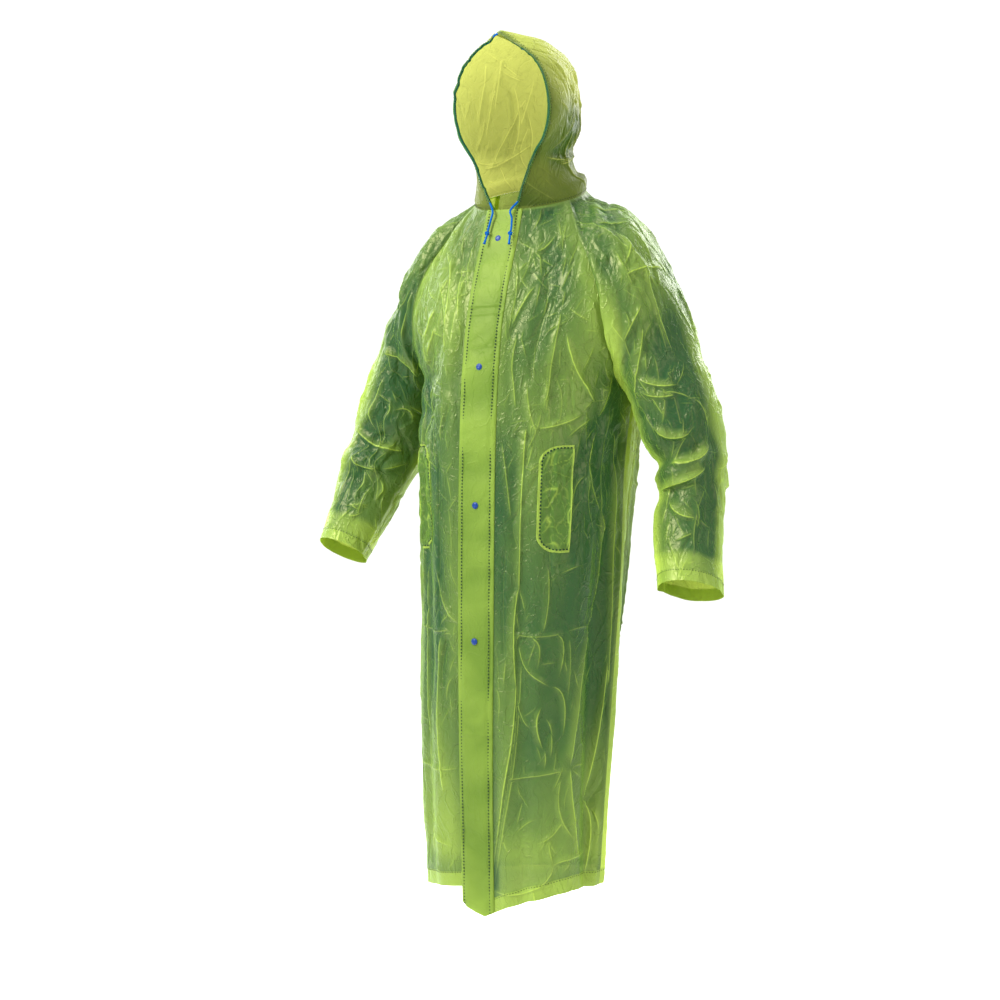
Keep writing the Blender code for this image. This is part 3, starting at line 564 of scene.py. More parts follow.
def scattered(rng, count, x_range, z_range, length, lean, spread, width, height):
    """Short random creases in a part of a panel, leaning `lean` degrees from upright."""
    rows = []
    for _ in range(count):
        x, z = rng.uniform(*x_range), rng.uniform(*z_range)
        half = rng.uniform(*length) / 2
        angle = math.radians(rng.normal(lean, spread))
        s, c = math.sin(angle), math.cos(angle)
        bend = rng.normal(0, 0.12) * half
        size = rng.uniform(0.6, 1.4)
        ends = (x - s * half, z - c * half, x + bend * c, z - bend * s, x + s * half, z + c * half)
        rows.append((*ends, width * size, rng.choice([-1, 1]) * height * size))
    return rows


def star(rng, x, z, count, length, width, height):
    """Creases that run out of one point, as where film has been pinched."""
    rows, turn = [], rng.uniform(0, 360)
    for k in range(count):
        angle = math.radians(turn + k * 360 / count + rng.normal(0, 12))
        reach = length * rng.uniform(0.5, 1.3)
        dx, dz = math.cos(angle) * reach, math.sin(angle) * reach
        sign = 1 if k % 2 else -0.8
        rows.append((x, z, x + dx / 2, z + dz / 2, x + dx, z + dz, width, sign * height))
    return rows


# ---- panels -------------------------------------------------------------------------------------
def torso_axis(points):
    return points * [0, 0, 1] + TORSO_AXIS


def hood_axis(points):
    return points * [0, 0, 0.8] + [0, -0.05, 0]


def arm_axis(side):
    rings = RINGS[side][0]
    fine = spline(rings, np.linspace(0, len(rings) - 1, 40))

    def nearest(points):
        away = ((points.reshape(-1, 1, 3) - fine) ** 2).sum(-1)
        return fine[np.argmin(away, axis=1)].reshape(points.shape)

    return nearest


def front(side):
    """A front, from its free edge under the placket round to the side."""

    def place(rows, shares):
        rows, shares = np.broadcast_arrays(rows, shares)
        start = torso_turn(-side * PLACKET_HALF_WIDTH, rows)
        points = torso(start + (side * 90 - start) * shares, rows, "left" if side > 0 else "right")
        if side < 0:
            points[..., 1] += LAP_DROP * (1 - smooth((-points[..., 0] - PLACKET_HALF_WIDTH) / 0.03))
        return points

    return place


def back(rows, shares):
    rows, shares = np.broadcast_arrays(rows, shares)
    turns = 90 + 180 * shares
    return torso(np.where(turns > 180, turns - 360, turns), rows, "back")


def arm(side):
    return lambda rows, shares: sleeve(side, rows, shares)


def hood_half(side):
    """A hood half, from the seam over the crown and down the nape to its front edge."""

    def place(rows, shares):
        rows, shares = np.broadcast_arrays(np.asarray(rows, float), np.asarray(shares, float))
        points = hood(side, rows, shares * HOOD_NECK_TURN, shares)
        if side < 0:
            points[..., 1] += LAP_DROP * (1 - smooth(rows)) * smooth((shares - 0.75) / 0.2)
        return points

    return place


SEAMS = ("first", "last", "top")
PANELS = {
    name: Panel(name, *sizes)
    for name, *sizes in (
        ("front_left", front(1), HEM_ROW, torso_axis, SEAMS[1:], 0.0023),
        ("front_right", front(-1), HEM_ROW, torso_axis, SEAMS[1:], 0.0024),
        ("back", back, HEM_ROW, torso_axis, SEAMS, 0.0027),
        ("sleeve_left", arm(1), CUFF, arm_axis(1), SEAMS, 0.0024, UNDERARM),
        ("sleeve_right", arm(-1), CUFF, arm_axis(-1), SEAMS, 0.0026, UNDERARM),
        ("hood_left", hood_half(1), HOOD_TOP, hood_axis, ("first", "top"), 0.0026),
        ("hood_right", hood_half(-1), HOOD_TOP, hood_axis, ("first", "top"), 0.0026),
    )
}
HEM_WIDTH = 0.027
CUFF_WIDTH = 0.022
CASING_WIDTH = 0.0072

# Creases listed one by one, on the front as the photograph shows them and with similar ones behind. Each
# bends from its first point by its second to its third: how far across the panel from its middle
# line, and how high. That line is the coat's front or back, a sleeve's outer side or the hood's crown
# seam. Across grows away from the placket, towards the wearer's right on the back, towards the back
# on a sleeve and forwards on the hood.
CREASES = "from_x from_z by_x by_z to_x to_z half_width height"
FRONT_LEFT_CREASES = table(CREASES, [
    (90, -400, 86, -500, 83, -690, 11, 4.2),
    (83, -670, 74, -750, 80, -852, 11, 4.6),
    (80, -835, 64, -1000, 26, -1214, 12, 4.6),
    (90, -800, 74, -1000, 36, -1200, 7, 2),
    (104, -422, 98, -450, 90, -477, 7, 2.2),
    (119, -458, 104, -470, 90, -478, 7, 2.2),
    (220, -404, 205, -485, 237, -545, 11, 4),
    (236, -540, 252, -640, 220, -748, 12, 4.6),
    (221, -742, 202, -840, 178, -984, 12, 4.6),
    (178, -980, 184, -1060, 198, -1144, 9, 4),
    (202, -480, 178, -502, 175, -545, 7, 2.2),
    (239, -404, 236, -520, 256, -588, 8, 2.8),
    (263, -405, 279, -590, 276, -856, 10, 3.6),
    (274, -800, 252, -950, 221, -1046, 11, 4.4),
    (221, -1042, 240, -1090, 224, -1180, 8, 3.4),
    (237, -1056, 250, -1078, 252, -1106, 8, 3),
    (47, -420, 57, -480, 67, -558, 7, 2.4),
    (60, -750, 112, -757, 168, -750, 6, 1.8),
    (168, -750, 200, -742, 240, -748, 6, 1.5),
    (12, -984, 40, -1000, 60, -1005, 6, 1.8),
    (60, -1004, 107, -998, 178, -986, 7, 2.2),
    (178, -986, 200, -980, 226, -984, 6, 1.5),
    (84, -769, 100, -812, 142, -844, 8, 3),
    (142, -843, 166, -866, 164, -934, 8, 2.8),
    (100, -757, 120, -772, 117, -816, 7, 2.4),
    (147, -754, 163, -774, 155, -830, 8, 2.8),
    (172, -760, 176, -800, 172, -870, 6, 1.6),
    (127, -876, 119, -910, 131, -955, 9, 3.6),
    (131, -950, 134, -966, 131, -988, 8, 3),
    (131, -894, 142, -912, 146, -936, 7, 2.4),
    (79, -852, 90, -892, 110, -916, 7, 2.4),
    (184, -812, 188, -832, 197, -850, 6, 2.2),
    (40, -846, 52, -866, 46, -917, 7, 2.2),
    (55, -1090, 60, -1112, 70, -1137, 6, 1.8),
    (116, -1116, 150, -1096, 170, -1066, 7, 2.2),
    (28, -1199, 110, -1196, 150, -1150, 7, 2.6),
    (148, -1152, 180, -1140, 232, -1136, 7, 2.6),
    (101, -152, 80, -188, 62, -229, 10, 3.6),
    (125, -60, 107, -88, 89, -95, 9, 3.4),
    (121, -122, 113, -132, 108, -145, 8, 3.2),
    (162, -238, 178, -300, 214, -362, 10, 3.8),
    (104, -402, 150, -394, 190, -375, 9, 3.4),
    (160, -419, 184, -398, 208, -383, 8, 2.8),
    (220, -384, 236, -350, 254, -302, 10, 3.6),
    (130, -170, 112, -250, 96, -330, 12, -3.6),
    (150, -200, 140, -270, 118, -372, 10, 3),
    (58, -110, 66, -170, 56, -240, 8, 2.6),
    (76, -240, 66, -300, 70, -372, 9, 2.8),
    (140, -440, 134, -540, 140, -700, 14, -3),
    (60, -600, 56, -700, 60, -800, 12, -2.8),
])
FRONT_RIGHT_CREASES = table(CREASES, [
    (45, -545, 30, -590, 40, -660, 9, 3.4),
    (94, -640, 70, -712, 38, -736, 8, 2.8),
    (114, -98, 96, -170, 90, -242, 9, 3.2),
    (90, -238, 88, -262, 74, -277, 7, 2.4),
    (85, -112, 76, -160, 64, -217, 8, 2.8),
    (60, -120, 72, -150, 67, -187, 7, 2.4),
    (43, -100, 46, -160, 55, -209, 7, 2.6),
    (43, -95, 48, -180, 40, -392, 8, 2.4),
    (128, -146, 104, -190, 80, -278, 9, 3),
    (159, -254, 140, -216, 127, -191, 9, 3.8),
    (158, -280, 136, -250, 118, -220, 7, 2.8),
    (96, -366, 140, -400, 148, -430, 8, 3),
    (148, -428, 124, -452, 86, -473, 8, 3),
    (68, -371, 80, -400, 77, -431, 7, 2.6),
    (110, -360, 104, -420, 94, -470, 7, 2.4),
    (128, -330, 122, -400, 110, -480, 7, 2.2),
    (120, -440, 136, -520, 126, -640, 10, 3.6),
    (90, -430, 82, -560, 90, -720, 12, -3),
    (172, -350, 166, -500, 170, -700, 11, 3.6),
    (150, -640, 150, -800, 132, -950, 11, 3.6),
    (132, -940, 124, -1050, 128, -1150, 9, 3),
    (80, -760, 86, -900, 78, -1040, 11, 3.4),
    (205, -500, 212, -700, 200, -900, 12, 3.6),
    (220, -860, 206, -1000, 210, -1160, 11, 3.4),
    (60, -750, 110, -756, 190, -748, 6, 1.8),
    (40, -990, 110, -998, 180, -988, 6, 1.8),
    (60, -1130, 100, -1120, 120, -1104, 7, 2.2),
    (50, -830, 64, -850, 66, -880, 7, 2.2),
])
BACK_CREASES = table(CREASES, [
    (-10, -110, -30, -330, -18, -560, 11, 4),
    (-18, -540, 6, -700, -6, -900, 12, 4.6),
    (-6, -880, -24, -1030, -10, -1200, 11, 4.2),
    (10, -820, -6, -1000, 6, -1190, 7, 2),
    (80, -200, 100, -420, 86, -650, 12, 4.4),
    (86, -640, 106, -800, 96, -990, 11, 4.2),
    (-110, -230, -96, -450, -112, -700, 12, 4.4),
    (-112, -690, -132, -850, -114, -990, 11, 4.2),
    (-114, -984, -104, -1080, -118, -1190, 10, 3.6),
    (98, -984, 116, -1080, 104, -1190, 9, 3.4),
    (160, -300, 148, -500, 170, -740, 11, 4),
    (170, -730, 186, -900, 170, -1100, 11, 3.8),
    (-180, -320, -166, -520, -186, -780, 11, 4),
    (-186, -760, -196, -900, -180, -1120, 11, 3.8),
    (220, -420, 210, -600, 224, -880, 10, 3.4),
    (-226, -400, -216, -640, -230, -940, 10, 3.4),
    (-160, -110, -90, -176, -10, -204, 10, 3.6),
    (166, -124, 100, -180, 30, -190, 10, 3.6),
    (-100, -52, -60, -92, 0, -106, 9, 3),
    (-140, -200, -80, -246, -30, -330, 9, 3),
    (150, -210, 100, -262, 60, -350, 9, 3),
    (-200, -498, -100, -510, 0, -498, 6, 1.8),
    (0, -498, 100, -508, 200, -496, 6, 1.8),
    (-200, -746, -100, -758, 10, -748, 6, 2),
    (10, -748, 100, -760, 210, -744, 6, 2),
    (-200, -990, -100, -1000, 10, -988, 6, 1.8),
    (10, -988, 100, -1002, 200, -986, 6, 1.8),
    (-70, -760, -50, -800, -58, -860, 8, 2.8),
    (40, -760, 56, -800, 40, -850, 8, 2.8),
    (50, -400, 30, -470, 44, -560, 8, 2.8),
    (-60, -340, -50, -430, -70, -520, 9, 3),
    (140, -900, 130, -960, 150, -1040, 8, 2.6),
    (-50, -1020, -62, -1080, -50, -1140, 8, 2.6),
])
SLEEVE_LEFT_CREASES = table(CREASES, [
    (-79, -42, -60, -46, -23, -46, 8, 2.8),
    (-42, -14, -20, -20, 15, -25, 8, 2.8),
    (-71, -65, -70, -90, -108, -130, 9, 3.4),
    (-40, -55, -30, -85, -31, -122, 8, 3),
    (-113, -144, -60, -128, 2, -125, 10, 4.2),
    (-51, -126, -66, -175, -56, -275, 10, 4),
    (-97, -190, -124, -222, -154, -256, 10, 4.2),
    (-106, -230, -120, -276, -155, -364, 10, 4),
    (-133, -314, -102, -329, -64, -323, 12, 6),
    (-136, -337, -106, -348, -70, -339, 11, 5.2),
    (-110, -344, -76, -340, -52, -354, 8, 3.2),
    (-52, -352, -36, -370, -31, -420, 9, 3.6),
    (-110, -462, -72, -460, -30, -422, 17, 9),
    (-138, -506, -86, -490, -42, -464, 15, 8.6),
    (-100, -482, -72, -474, -44, -466, 9, -3.4),
    (-104, -595, -78, -584, -64, -575, 8, 3.2),
    (-64, -577, -58, -548, -68, -520, 8, 3.2),
    (-26, -488, -12, -540, -6, -608, 7, 3),
    (-116, -520, -90, -548, -60, -552, 14, 5.6),
    (-80, -400, -60, -430, -76, -450, 10, -3.6),
    (-136, -396, -104, -416, -64, -404, 14, 7),
    (30, -150, 36, -230, 22, -330, 10, 4),
    (80, -190, 66, -260, 76, -350, 10, 3.8),
    (12, -340, 40, -370, 80, -364, 12, 2.8),
    (50, -430, 20, -462, -20, -470, 14, 3.2),
    (100, -470, 60, -500, 20, -500, 10, 4.4),
    (70, -540, 44, -574, 50, -620, 9, 3.4),
    (110, -400, 100, -440, 110, -490, 9, -3.4),
])
SLEEVE_RIGHT_CREASES = table(CREASES, [
    (-90, -264, -150, -280, -191, -314, 12, 5.8),
    (-100, -290, -140, -306, -170, -330, 9, -3.4),
    (-60, -398, -120, -434, -176, -444, 11, 5.8),
    (-94, -444, -104, -470, -154, -476, 10, 5),
    (-154, -476, -176, -474, -196, -464, 9, 4),
    (-110, -473, -112, -500, -102, -523, 8, 3.6),
    (-101, -533, -108, -545, -130, -549, 9, 4),
    (-130, -549, -112, -560, -92, -556, 8, 3),
    (-112, -306, -102, -362, -116, -412, 9, 3.8),
    (-140, -373, -168, -370, -186, -398, 8, 3.4),
    (-120, -350, -136, -370, -128, -392, 8, 3),
    (-160, -420, -150, -434, -132, -440, 8, 3),
    (-140, -490, -150, -512, -140, -536, 9, 3.6),
    (-155, -158, -160, -200, -156, -250, 9, 3.6),
    (-100, -110, -120, -180, -110, -250, 10, 3.6),
    (-60, -80, -40, -150, -56, -240, 10, 3.6),
    (-40, -270, -60, -330, -50, -390, 10, 3.8),
    (20, -180, 36, -260, 20, -350, 10, 3.8),
    (80, -200, 70, -280, 86, -350, 10, 3.6),
    (70, -380, 30, -410, -20, -400, 11, 4.4),
    (90, -430, 50, -454, 0, -450, 10, 4.4),
    (50, -480, 30, -510, 40, -550, 9, 3.4),
])
HOOD_CREASES = table(CREASES, [
    (60, 262, 100, 226, 128, 160, 9, 2.8),
    (90, 240, 130, 180, 150, 110, 8, 2.6),
    (110, 250, 146, 200, 170, 130, 8, 2.6),
    (30, 230, 60, 170, 76, 100, 9, 2.8),
    (50, 200, 90, 140, 120, 60, 9, 3),
    (30, 120, 90, 76, 150, 60, 9, 3),
    (60, 90, 120, 70, 190, 70, 8, 2.6),
    (150, 160, 160, 120, 186, 80, 8, 2.4),
    (40, 60, 60, 100, 50, 150, 9, 2.6),
    (96, 214, 88, 150, 94, 70, 13, -5),
    (76, 216, 70, 150, 75, 80, 9, 3.6),
])


def shape_film(name, creases, stars, middle, seed, lean, busy, sharp=0.3, pinch=0.0020, soft=1.0):
    """Swells, facets at three sizes, creases and pinches. `middle` is where across starts, as a share,
    `busy` how crumpled the film is from height to height, `sharp` how flat its facets are, and
    `pinch` how high the pinches' creases are."""
    panel = PANELS[name]
    rng = np.random.default_rng(seed)
    zero = np.array([np.interp(middle, panel.shares, line) for line in panel.across])
    amount = busy(panel.z) * soft
    patch = read_map(SWELLS[1], panel.across / 0.13 + seed, panel.down / 0.17 + seed * 1.3)
    dense = smooth(0.5 + 0.9 * patch)
    for chart, size, stretch, turn, height, where in (
        (SWELLS[0], 0.085, 2.6, lean, 0.0044 * soft, 1.0),
        (SOFT_MAPS[0], 0.060, 1.8, lean + 6, 0.0074 * sharp * soft, 1.0),
        (SOFT_MAPS[1], 0.040, 2.6, lean + 6, 0.0052 * amount, 1.0),
        (SOFT_MAPS[2], 0.020, 2.2, lean - 18, 0.0034 * amount, 0.30 + 0.70 * dense),
        (MAPS[0], 0.0105, 1.8, lean + 35, 0.0013 * amount, 0.25 + 0.75 * dense),
    ):
        panel.crumple(chart, size, stretch, turn, height, where)
    # the last number is how strong these creases' painted highlights are
    panel.crease(list(zip(*creases.values())), zero, 0.46)
    across = panel.across - zero[:, None]
    x_range = (across.min() + 0.012, across.max() - 0.012)
    z_range = (panel.z.min() + 0.02, panel.z.max() - 0.02)
    area = (x_range[1] - x_range[0]) * (z_range[1] - z_range[0])
    # each kind of scattered crease, the strength of its painted highlight last
    for per_area, length, turn, spread, width, height, glow in (
        (380, (0.05, 0.13), lean, 13, 0.0070, 0.0020, 0.42),
        (2200, (0.02, 0.06), lean + 10, 38, 0.0050, 0.0015, 0.50),
    ):
        rows = scattered(rng, int(area * per_area), x_range, z_range, length, turn, spread, width, height)
        chance = rng.uniform(0, 1.1, len(rows))
        panel.crease([row for row, least in zip(rows, chance) if busy(row[3]) > least], zero, glow)
    for x, z, count, length in stars:
        panel.crease(star(rng, x / 1000, z / 1000, count, length / 1000, 0.007, pinch), zero, 0.5)


def torso_busy(z):
    """The chest is crumpled all over, and below the waist the film hangs in smoother planes."""
    return 0.30 + 0.70 * smooth((z + 0.62) / 0.26)


def arm_busy(z):
    return 0.75 + 0.25 * smooth((z + 0.62) / 0.10)


def hood_busy(z):
    return 0.55 + 0.0 * z


# The pinches on each panel: where, how many creases leave it and how long they are.
FRONT_LEFT_STARS = (
    (90, -94, 7, 45),
    (108, -144, 7, 45),
    (150, -200, 6, 45),
    (84, -748, 5, 40),
    (150, -650, 5, 40),
    (61, -1004, 4, 30),
    (178, -984, 5, 34),
    (222, -1044, 5, 34),
)
FRONT_RIGHT_STARS = ((100, -130, 6, 45), (140, -230, 6, 40), (110, -430, 8, 45), (80, -760, 5, 40))
BACK_STARS = (
    (-12, -750, 5, 45),
    (96, -988, 5, 36),
    (-114, -986, 5, 36),
    (110, -240, 6, 45),
    (-100, -250, 6, 45),
)
SLEEVE_LEFT_STARS = ((-70, -60, 6, 36), (-60, -130, 6, 36), (-40, -440, 6, 36), (20, -480, 6, 36))
SLEEVE_RIGHT_STARS = ((-110, -470, 6, 36), (-180, -310, 6, 36), (-110, -540, 6, 36), (10, -440, 6, 36))
shape_film("front_left", FRONT_LEFT_CREASES, FRONT_LEFT_STARS, 0.09, 5, 4, torso_busy)
shape_film("front_right", FRONT_RIGHT_CREASES, FRONT_RIGHT_STARS, 0.09, 6, 3, torso_busy)
shape_film("back", BACK_CREASES, BACK_STARS, 0.5, 7, -3, torso_busy)
shape_film("sleeve_left", SLEEVE_LEFT_CREASES, SLEEVE_LEFT_STARS, 0.5, 8, 0, arm_busy, 0.45, 0.0022)
shape_film("sleeve_right", SLEEVE_RIGHT_CREASES, SLEEVE_RIGHT_STARS, 0.5, 9, 0, arm_busy, 0.45, 0.0022)
shape_film("hood_left", HOOD_CREASES, (), 0, 10, 20, hood_busy, soft=0.7)
shape_film("hood_right", HOOD_CREASES, (), 0, 11, 20, hood_busy, soft=0.7)


def tone_and_painted_light_of(name, panel):
    """How much the film is brightened: random patches, and painted light and shade by place and by how high
    the cloth rises.
    """
    z, edges = panel.z, panel.edges
    tone_and_painted_light = 0.04 + 0.13 * read_map(SWELLS[0], panel.across / 0.07 + 2, panel.down / 0.16 + len(name))
    # painted highlight and shade: lighter where the cloth rises, darker where it sinks
    tone_and_painted_light = tone_and_painted_light + 0.11 * np.clip(panel.height / 0.006, -1, 1)
    if name.startswith("hood"):
        # painted light: a pale top, and lighter by the crown seam and lower down
        patch = read_map(SWELLS[1], panel.across / 0.09, panel.down / 0.10 + 3)
        tone_and_painted_light = tone_and_painted_light + 0.90 * smooth((z + 0.030 * patch - 0.145) / 0.080)
        return tone_and_painted_light + 0.28 * smooth((0.045 - panel.across) / 0.030) + 0.22 * smooth((0.085 - z) / 0.05)
    if name.startswith("sleeve"):
        # painted light: lighter towards the cuff, and along the sleeve's outer and inner sides
        tone_and_painted_light = tone_and_painted_light + 0.30 * smooth((0.062 - edges["bottom"]) / 0.020)
        outer = 0.57 if name.endswith("left") else 0.43
        away = np.abs((panel.across / panel.across[:, -1:] - outer + 0.5) % 1 - 0.5)
        painted_rim_light = 0.62 * smooth((0.155 - away) / 0.100) + 0.60 * smooth((away - 0.38) / 0.09)
        return tone_and_painted_light + smooth((-0.12 - z) / 0.20) * painted_rim_light
    # painted light: lighter towards the hem and on the upper body
    tone_and_painted_light = tone_and_painted_light + 0.12 * smooth((-0.90 - z) / 0.30) + 0.08 * smooth((z + 0.44) / 0.10)
    if name == "back":
        # painted light: lighter near the back's side seams, below the shoulders
        beside = smooth((0.120 - np.minimum(edges["first"], edges["last"])) / 0.110)
        return tone_and_painted_light + 0.58 * beside * smooth((-0.14 - z) / 0.26)
    # painted shade: darker just above the fronts' hem
    tone_and_painted_light = tone_and_painted_light - 0.16 * smooth((-1.13 - z) / 0.04)
    # painted light: the right front lighter lower down, and both fronts lighter by their side seams
    low = 0
    if name == "front_right":
        tone_and_painted_light = tone_and_painted_light + 0.09 * smooth((-0.34 - z) / 0.12)
        low = smooth((-0.60 - z) / 0.15)
    return tone_and_painted_light + (0.15 + 0.35 * low) * smooth(1 - edges["last"] / 0.05)


for name, panel in PANELS.items():
    if not name.startswith("hood"):
        upper = smooth((panel.z + 0.36) / 0.05)
        for edge in ("last",) if name.startswith("front") else ("first", "last"):
            ripple = read_map(SWELLS[2], panel.down / 0.016, panel.edges[edge] / 0.05)
            panel.height += upper * 0.0016 * ripple * bump((panel.edges[edge] - 0.016) / 0.016)
        if name.startswith("sleeve"):
            middle = np.abs(panel.across - panel.across[:, -1:] / 2)
            panel.height *= 0.75 + 0.25 * smooth(middle / 0.06)
    panel.still(panel.seam_distance, 0.012)
    if name.startswith("front"):
        panel.still(panel.across - 2 * PLACKET_HALF_WIDTH + 0.004, 0.030, least=0.10)
    # random patches plus painted light and shade for the film's glow
    tone_and_painted_light = tone_and_painted_light_of(name, panel)
    doubled = 0.22 * (1 - smooth((panel.seam_distance - 0.003) / 0.003))
    if name.startswith("hood"):
        panel.height += 0.009 * bump((panel.down - 0.020) / 0.022) * bump((panel.shares - 0.36) / 0.34)
    else:
        width = CUFF_WIDTH if name.startswith("sleeve") else HEM_WIDTH
        turned_up = 0.58 * (1 - smooth((panel.edges["bottom"] - width + 0.002) / 0.002))
        doubled = np.maximum(doubled, turned_up)
    # the glow: the creases' painted highlights with the painted light added, at least as light as doubled
    # film
    panel.glow = np.clip(np.maximum(panel.glow + tone_and_painted_light, doubled), 0, 1)


# ---- from grids to meshes -----------------------------------------------------------------------
def add_mesh(name, points, faces, material, node=None, slot=None):
    """A piece of the coat in the shared frame, standing for a solid if `node` names one."""
    mesh = bpy.data.meshes.new(name)
    faces = faces.tolist() if isinstance(faces, np.ndarray) else faces
    mesh.from_pydata(np.asarray(points).reshape(-1, 3).tolist(), [], faces)
    mesh.shade_smooth()
    mesh.materials.append(material)
    made = bpy.data.objects.new(name, mesh)
    bpy.context.scene.collection.objects.link(made)
    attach(made, "root")
    if node:
        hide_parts(node)
    return made


def quads(shape, closed_from=None, ring=False):
    """Quads over a grid. From the row `closed_from` its last column is its first one, and in a ring
    the last column joins the first."""
    number = np.arange(shape[0] * shape[1]).reshape(shape)
    if closed_from is not None:
        number[closed_from:, -1] = number[closed_from:, 0]
    if ring:
        number = np.hstack([number, number[:, :1]])
    corners = (number[:-1, :-1], number[1:, :-1], number[1:, 1:], number[:-1, 1:])
    return np.stack([corner.ravel() for corner in corners], -1)


def faced(points, faces, out):
    """Turns quads over if they face against `out`, one direction for each point."""
    points, out = points.reshape(-1, 3), out.reshape(-1, 3)
    a, b, c, d = (points[faces[:, k]] for k in range(4))
    turned = np.sum(np.cross(c - a, d - b) * out[faces[:, 0]]) < 0
    return faces[:, ::-1] if turned else faces


def add_sheet(name, points, out, material, node=None, slot=None, closed_from=None, **values):
    """A sheet from its grid of points, with any further values of its points for its material."""
    faces = faced(points, quads(points.shape[:2], closed_from), out)
    made = add_mesh(name, points, faces, material, node, slot)
    for key, value in values.items():
        made.data.attributes.new(key, "FLOAT", "POINT").data.foreach_set("value", value.ravel())
    return made


def tube(path, radius, sides, braid, closed=True):
    """Points and faces of a round tube along a path, its surface raised into a braid's strands by the
    share `braid`. A fan closes each end, or the ends stay open."""
    way = unit(np.gradient(path, axis=0))
    side = np.empty_like(way)
    side[0] = unit(np.cross(way[0], [0.31, 0.52, 0.79]))
    for k in range(1, len(way)):
        side[k] = unit(side[k - 1] - way[k] * np.dot(side[k - 1], way[k]))
    up = np.cross(way, side)
    turn = np.linspace(0, math.tau, sides, endpoint=False)
    twist = run_of(path)[:, None] * 900
    strands = np.cos(4 * turn + twist) * np.cos(4 * turn - twist)
    reach = (np.broadcast_to(radius, len(path))[:, None] * (1 + braid * strands))[..., None]
    around = side[:, None] * np.cos(turn)[:, None] + up[:, None] * np.sin(turn)[:, None]
    rings = path[:, None] + reach * around
    faces = faced(rings, quads(rings.shape[:2], ring=True), rings - path[:, None]).tolist()
    points = rings.reshape(-1, 3)
    if not closed:
        return points, faces
    count, last = len(points), len(points) - sides
    faces += [(count, (k + 1) % sides, k) for k in range(sides)]
    faces += [(count + 1, last + k, last + (k + 1) % sides) for k in range(sides)]
    return np.vstack([points, rings[0].mean(0), rings[-1].mean(0)]), faces


def even(path, spacing):
    """A path's points again, evenly spaced."""
    run = run_of(path)
    place = np.linspace(0, run[-1], max(2, round(run[-1] / spacing) + 1))
    return np.stack([np.interp(place, run, path[:, k]) for k in range(3)], -1)


def stitches(path, out, pitch, length, width):
    """Points and quads of a row of stitches along a path that lies on the film."""
    run = run_of(path)
    count = max(1, int(run[-1] / pitch))
    place = (np.arange(count) + 0.5) * run[-1] / count
    centre, lift, ahead = (
        np.stack([np.interp(place, run, values[:, k]) for k in range(3)], -1)
        for values in (path, out, np.gradient(path, run, axis=0))
    )
    ahead, lift = unit(ahead), unit(lift)
    side = np.cross(ahead, lift)
    rings = [(-0.5, 0.35, 0.0), (-0.3, 1.0, 1.0), (0.3, 1.0, 1.0), (0.5, 0.35, 0.0)]
    corners = [(-1, 0), (-0.55, 0.75), (0.55, 0.75), (1, 0)]
    points = np.stack(
        [
            centre + ahead * length * a + side * width * wide * x + lift * width * (y * tall + 0.1)
            for a, wide, tall in rings
            for x, y in corners
        ],
        1,
    )
    one = quads((len(rings), len(corners)))
    faces = one[None] + (np.arange(count) * len(rings) * len(corners))[:, None, None]
    return points.reshape(-1, 3), faces.reshape(-1, 4).tolist()


def joined(parts):
    """Several meshes' points and faces as one."""
    faces, start = [], 0
    for points, part_faces in parts:
        faces += [[k + start for k in face] for face in part_faces]
        start += len(points)
    return np.vstack([points for points, _ in parts]), faces


# ---- materials ----------------------------------------------------------------------------------
def linear(colour):
    return tuple(c / 12.92 if c <= 0.04045 else ((c + 0.055) / 1.055) ** 2.4 for c in colour) + (1.0,)


def add_node(tree, kind, inputs, **settings):
    """A node. Each of its inputs, by name or number, is a value or another node's output."""
    made = tree.nodes.new("ShaderNode" + kind)
    for key, value in settings.items():
        setattr(made, key, value)
    for key, value in inputs.items():
        if isinstance(value, bpy.types.NodeSocket):
            tree.links.new(value, made.inputs[key])
        else:
            made.inputs[key].default_value = value
    return made


def math_node(tree, operation, *inputs, clamp=False):
    return add_node(tree, "Math", dict(enumerate(inputs)), operation=operation, use_clamp=clamp).outputs[0]


def attribute(tree, name):
    return add_node(tree, "Attribute", {}, attribute_name=name).outputs["Fac"]


def bumped(tree, fac, height, **inputs):
    """A normal raised by `height` metres where `fac` is 1."""
    inputs = {"Strength": 1.0, "Distance": height, "Height": fac, **inputs}
    return add_node(tree, "Bump", inputs).outputs["Normal"]


def near_zero(tree, value, start, end):
    """1 where a value is within `start` of 0, falling to 0 at `end`."""
    away = math_node(tree, "ABSOLUTE", value)
    inputs = {"Value": away, "From Min": start, "From Max": end, "To Min": 1.0, "To Max": 0.0}
    return add_node(tree, "MapRange", inputs, interpolation_type="SMOOTHSTEP").outputs["Result"]


def crinkle_bump(tree, size, height):
    """Fine wrinkles that are too small for the grid."""
    place = add_node(tree, "TexCoord", {}).outputs["Object"]
    look = {"Scale": 1 / size, "Detail": 3.0, "Roughness": 0.5}
    return bumped(tree, add_node(tree, "TexNoise", {"Vector": place, **look}).outputs["Fac"], height)


def crease_lines(tree, normal, size, thin, height, stretch):
    """Thin curved crease lines over `normal`: where a stretched noise passes its middle value."""
    place = add_node(tree, "TexCoord", {}).outputs["Object"]
    place = add_node(tree, "Mapping", {"Vector": place, "Scale": (1.0, 1.0, 1 / stretch)}).outputs["Vector"]
    look = {"Scale": 1 / size, "Detail": 2.0, "Roughness": 0.55, "Distortion": 0.6}
    noise = add_node(tree, "TexNoise", {"Vector": place, **look}).outputs["Fac"]
    line = near_zero(tree, math_node(tree, "SUBTRACT", noise, 0.5), 0.0, thin)
    return bumped(tree, line, height, Normal=normal)


def new_material(name):
    made = bpy.data.materials.new(name)
    made.use_nodes = True
    made.node_tree.nodes.remove(made.node_tree.nodes["Principled BSDF"])
    return made, made.node_tree, made.node_tree.nodes["Material Output"].inputs["Surface"]


SURFACE_SHARE = 0.60  # of the light that a film doesn't pass straight through


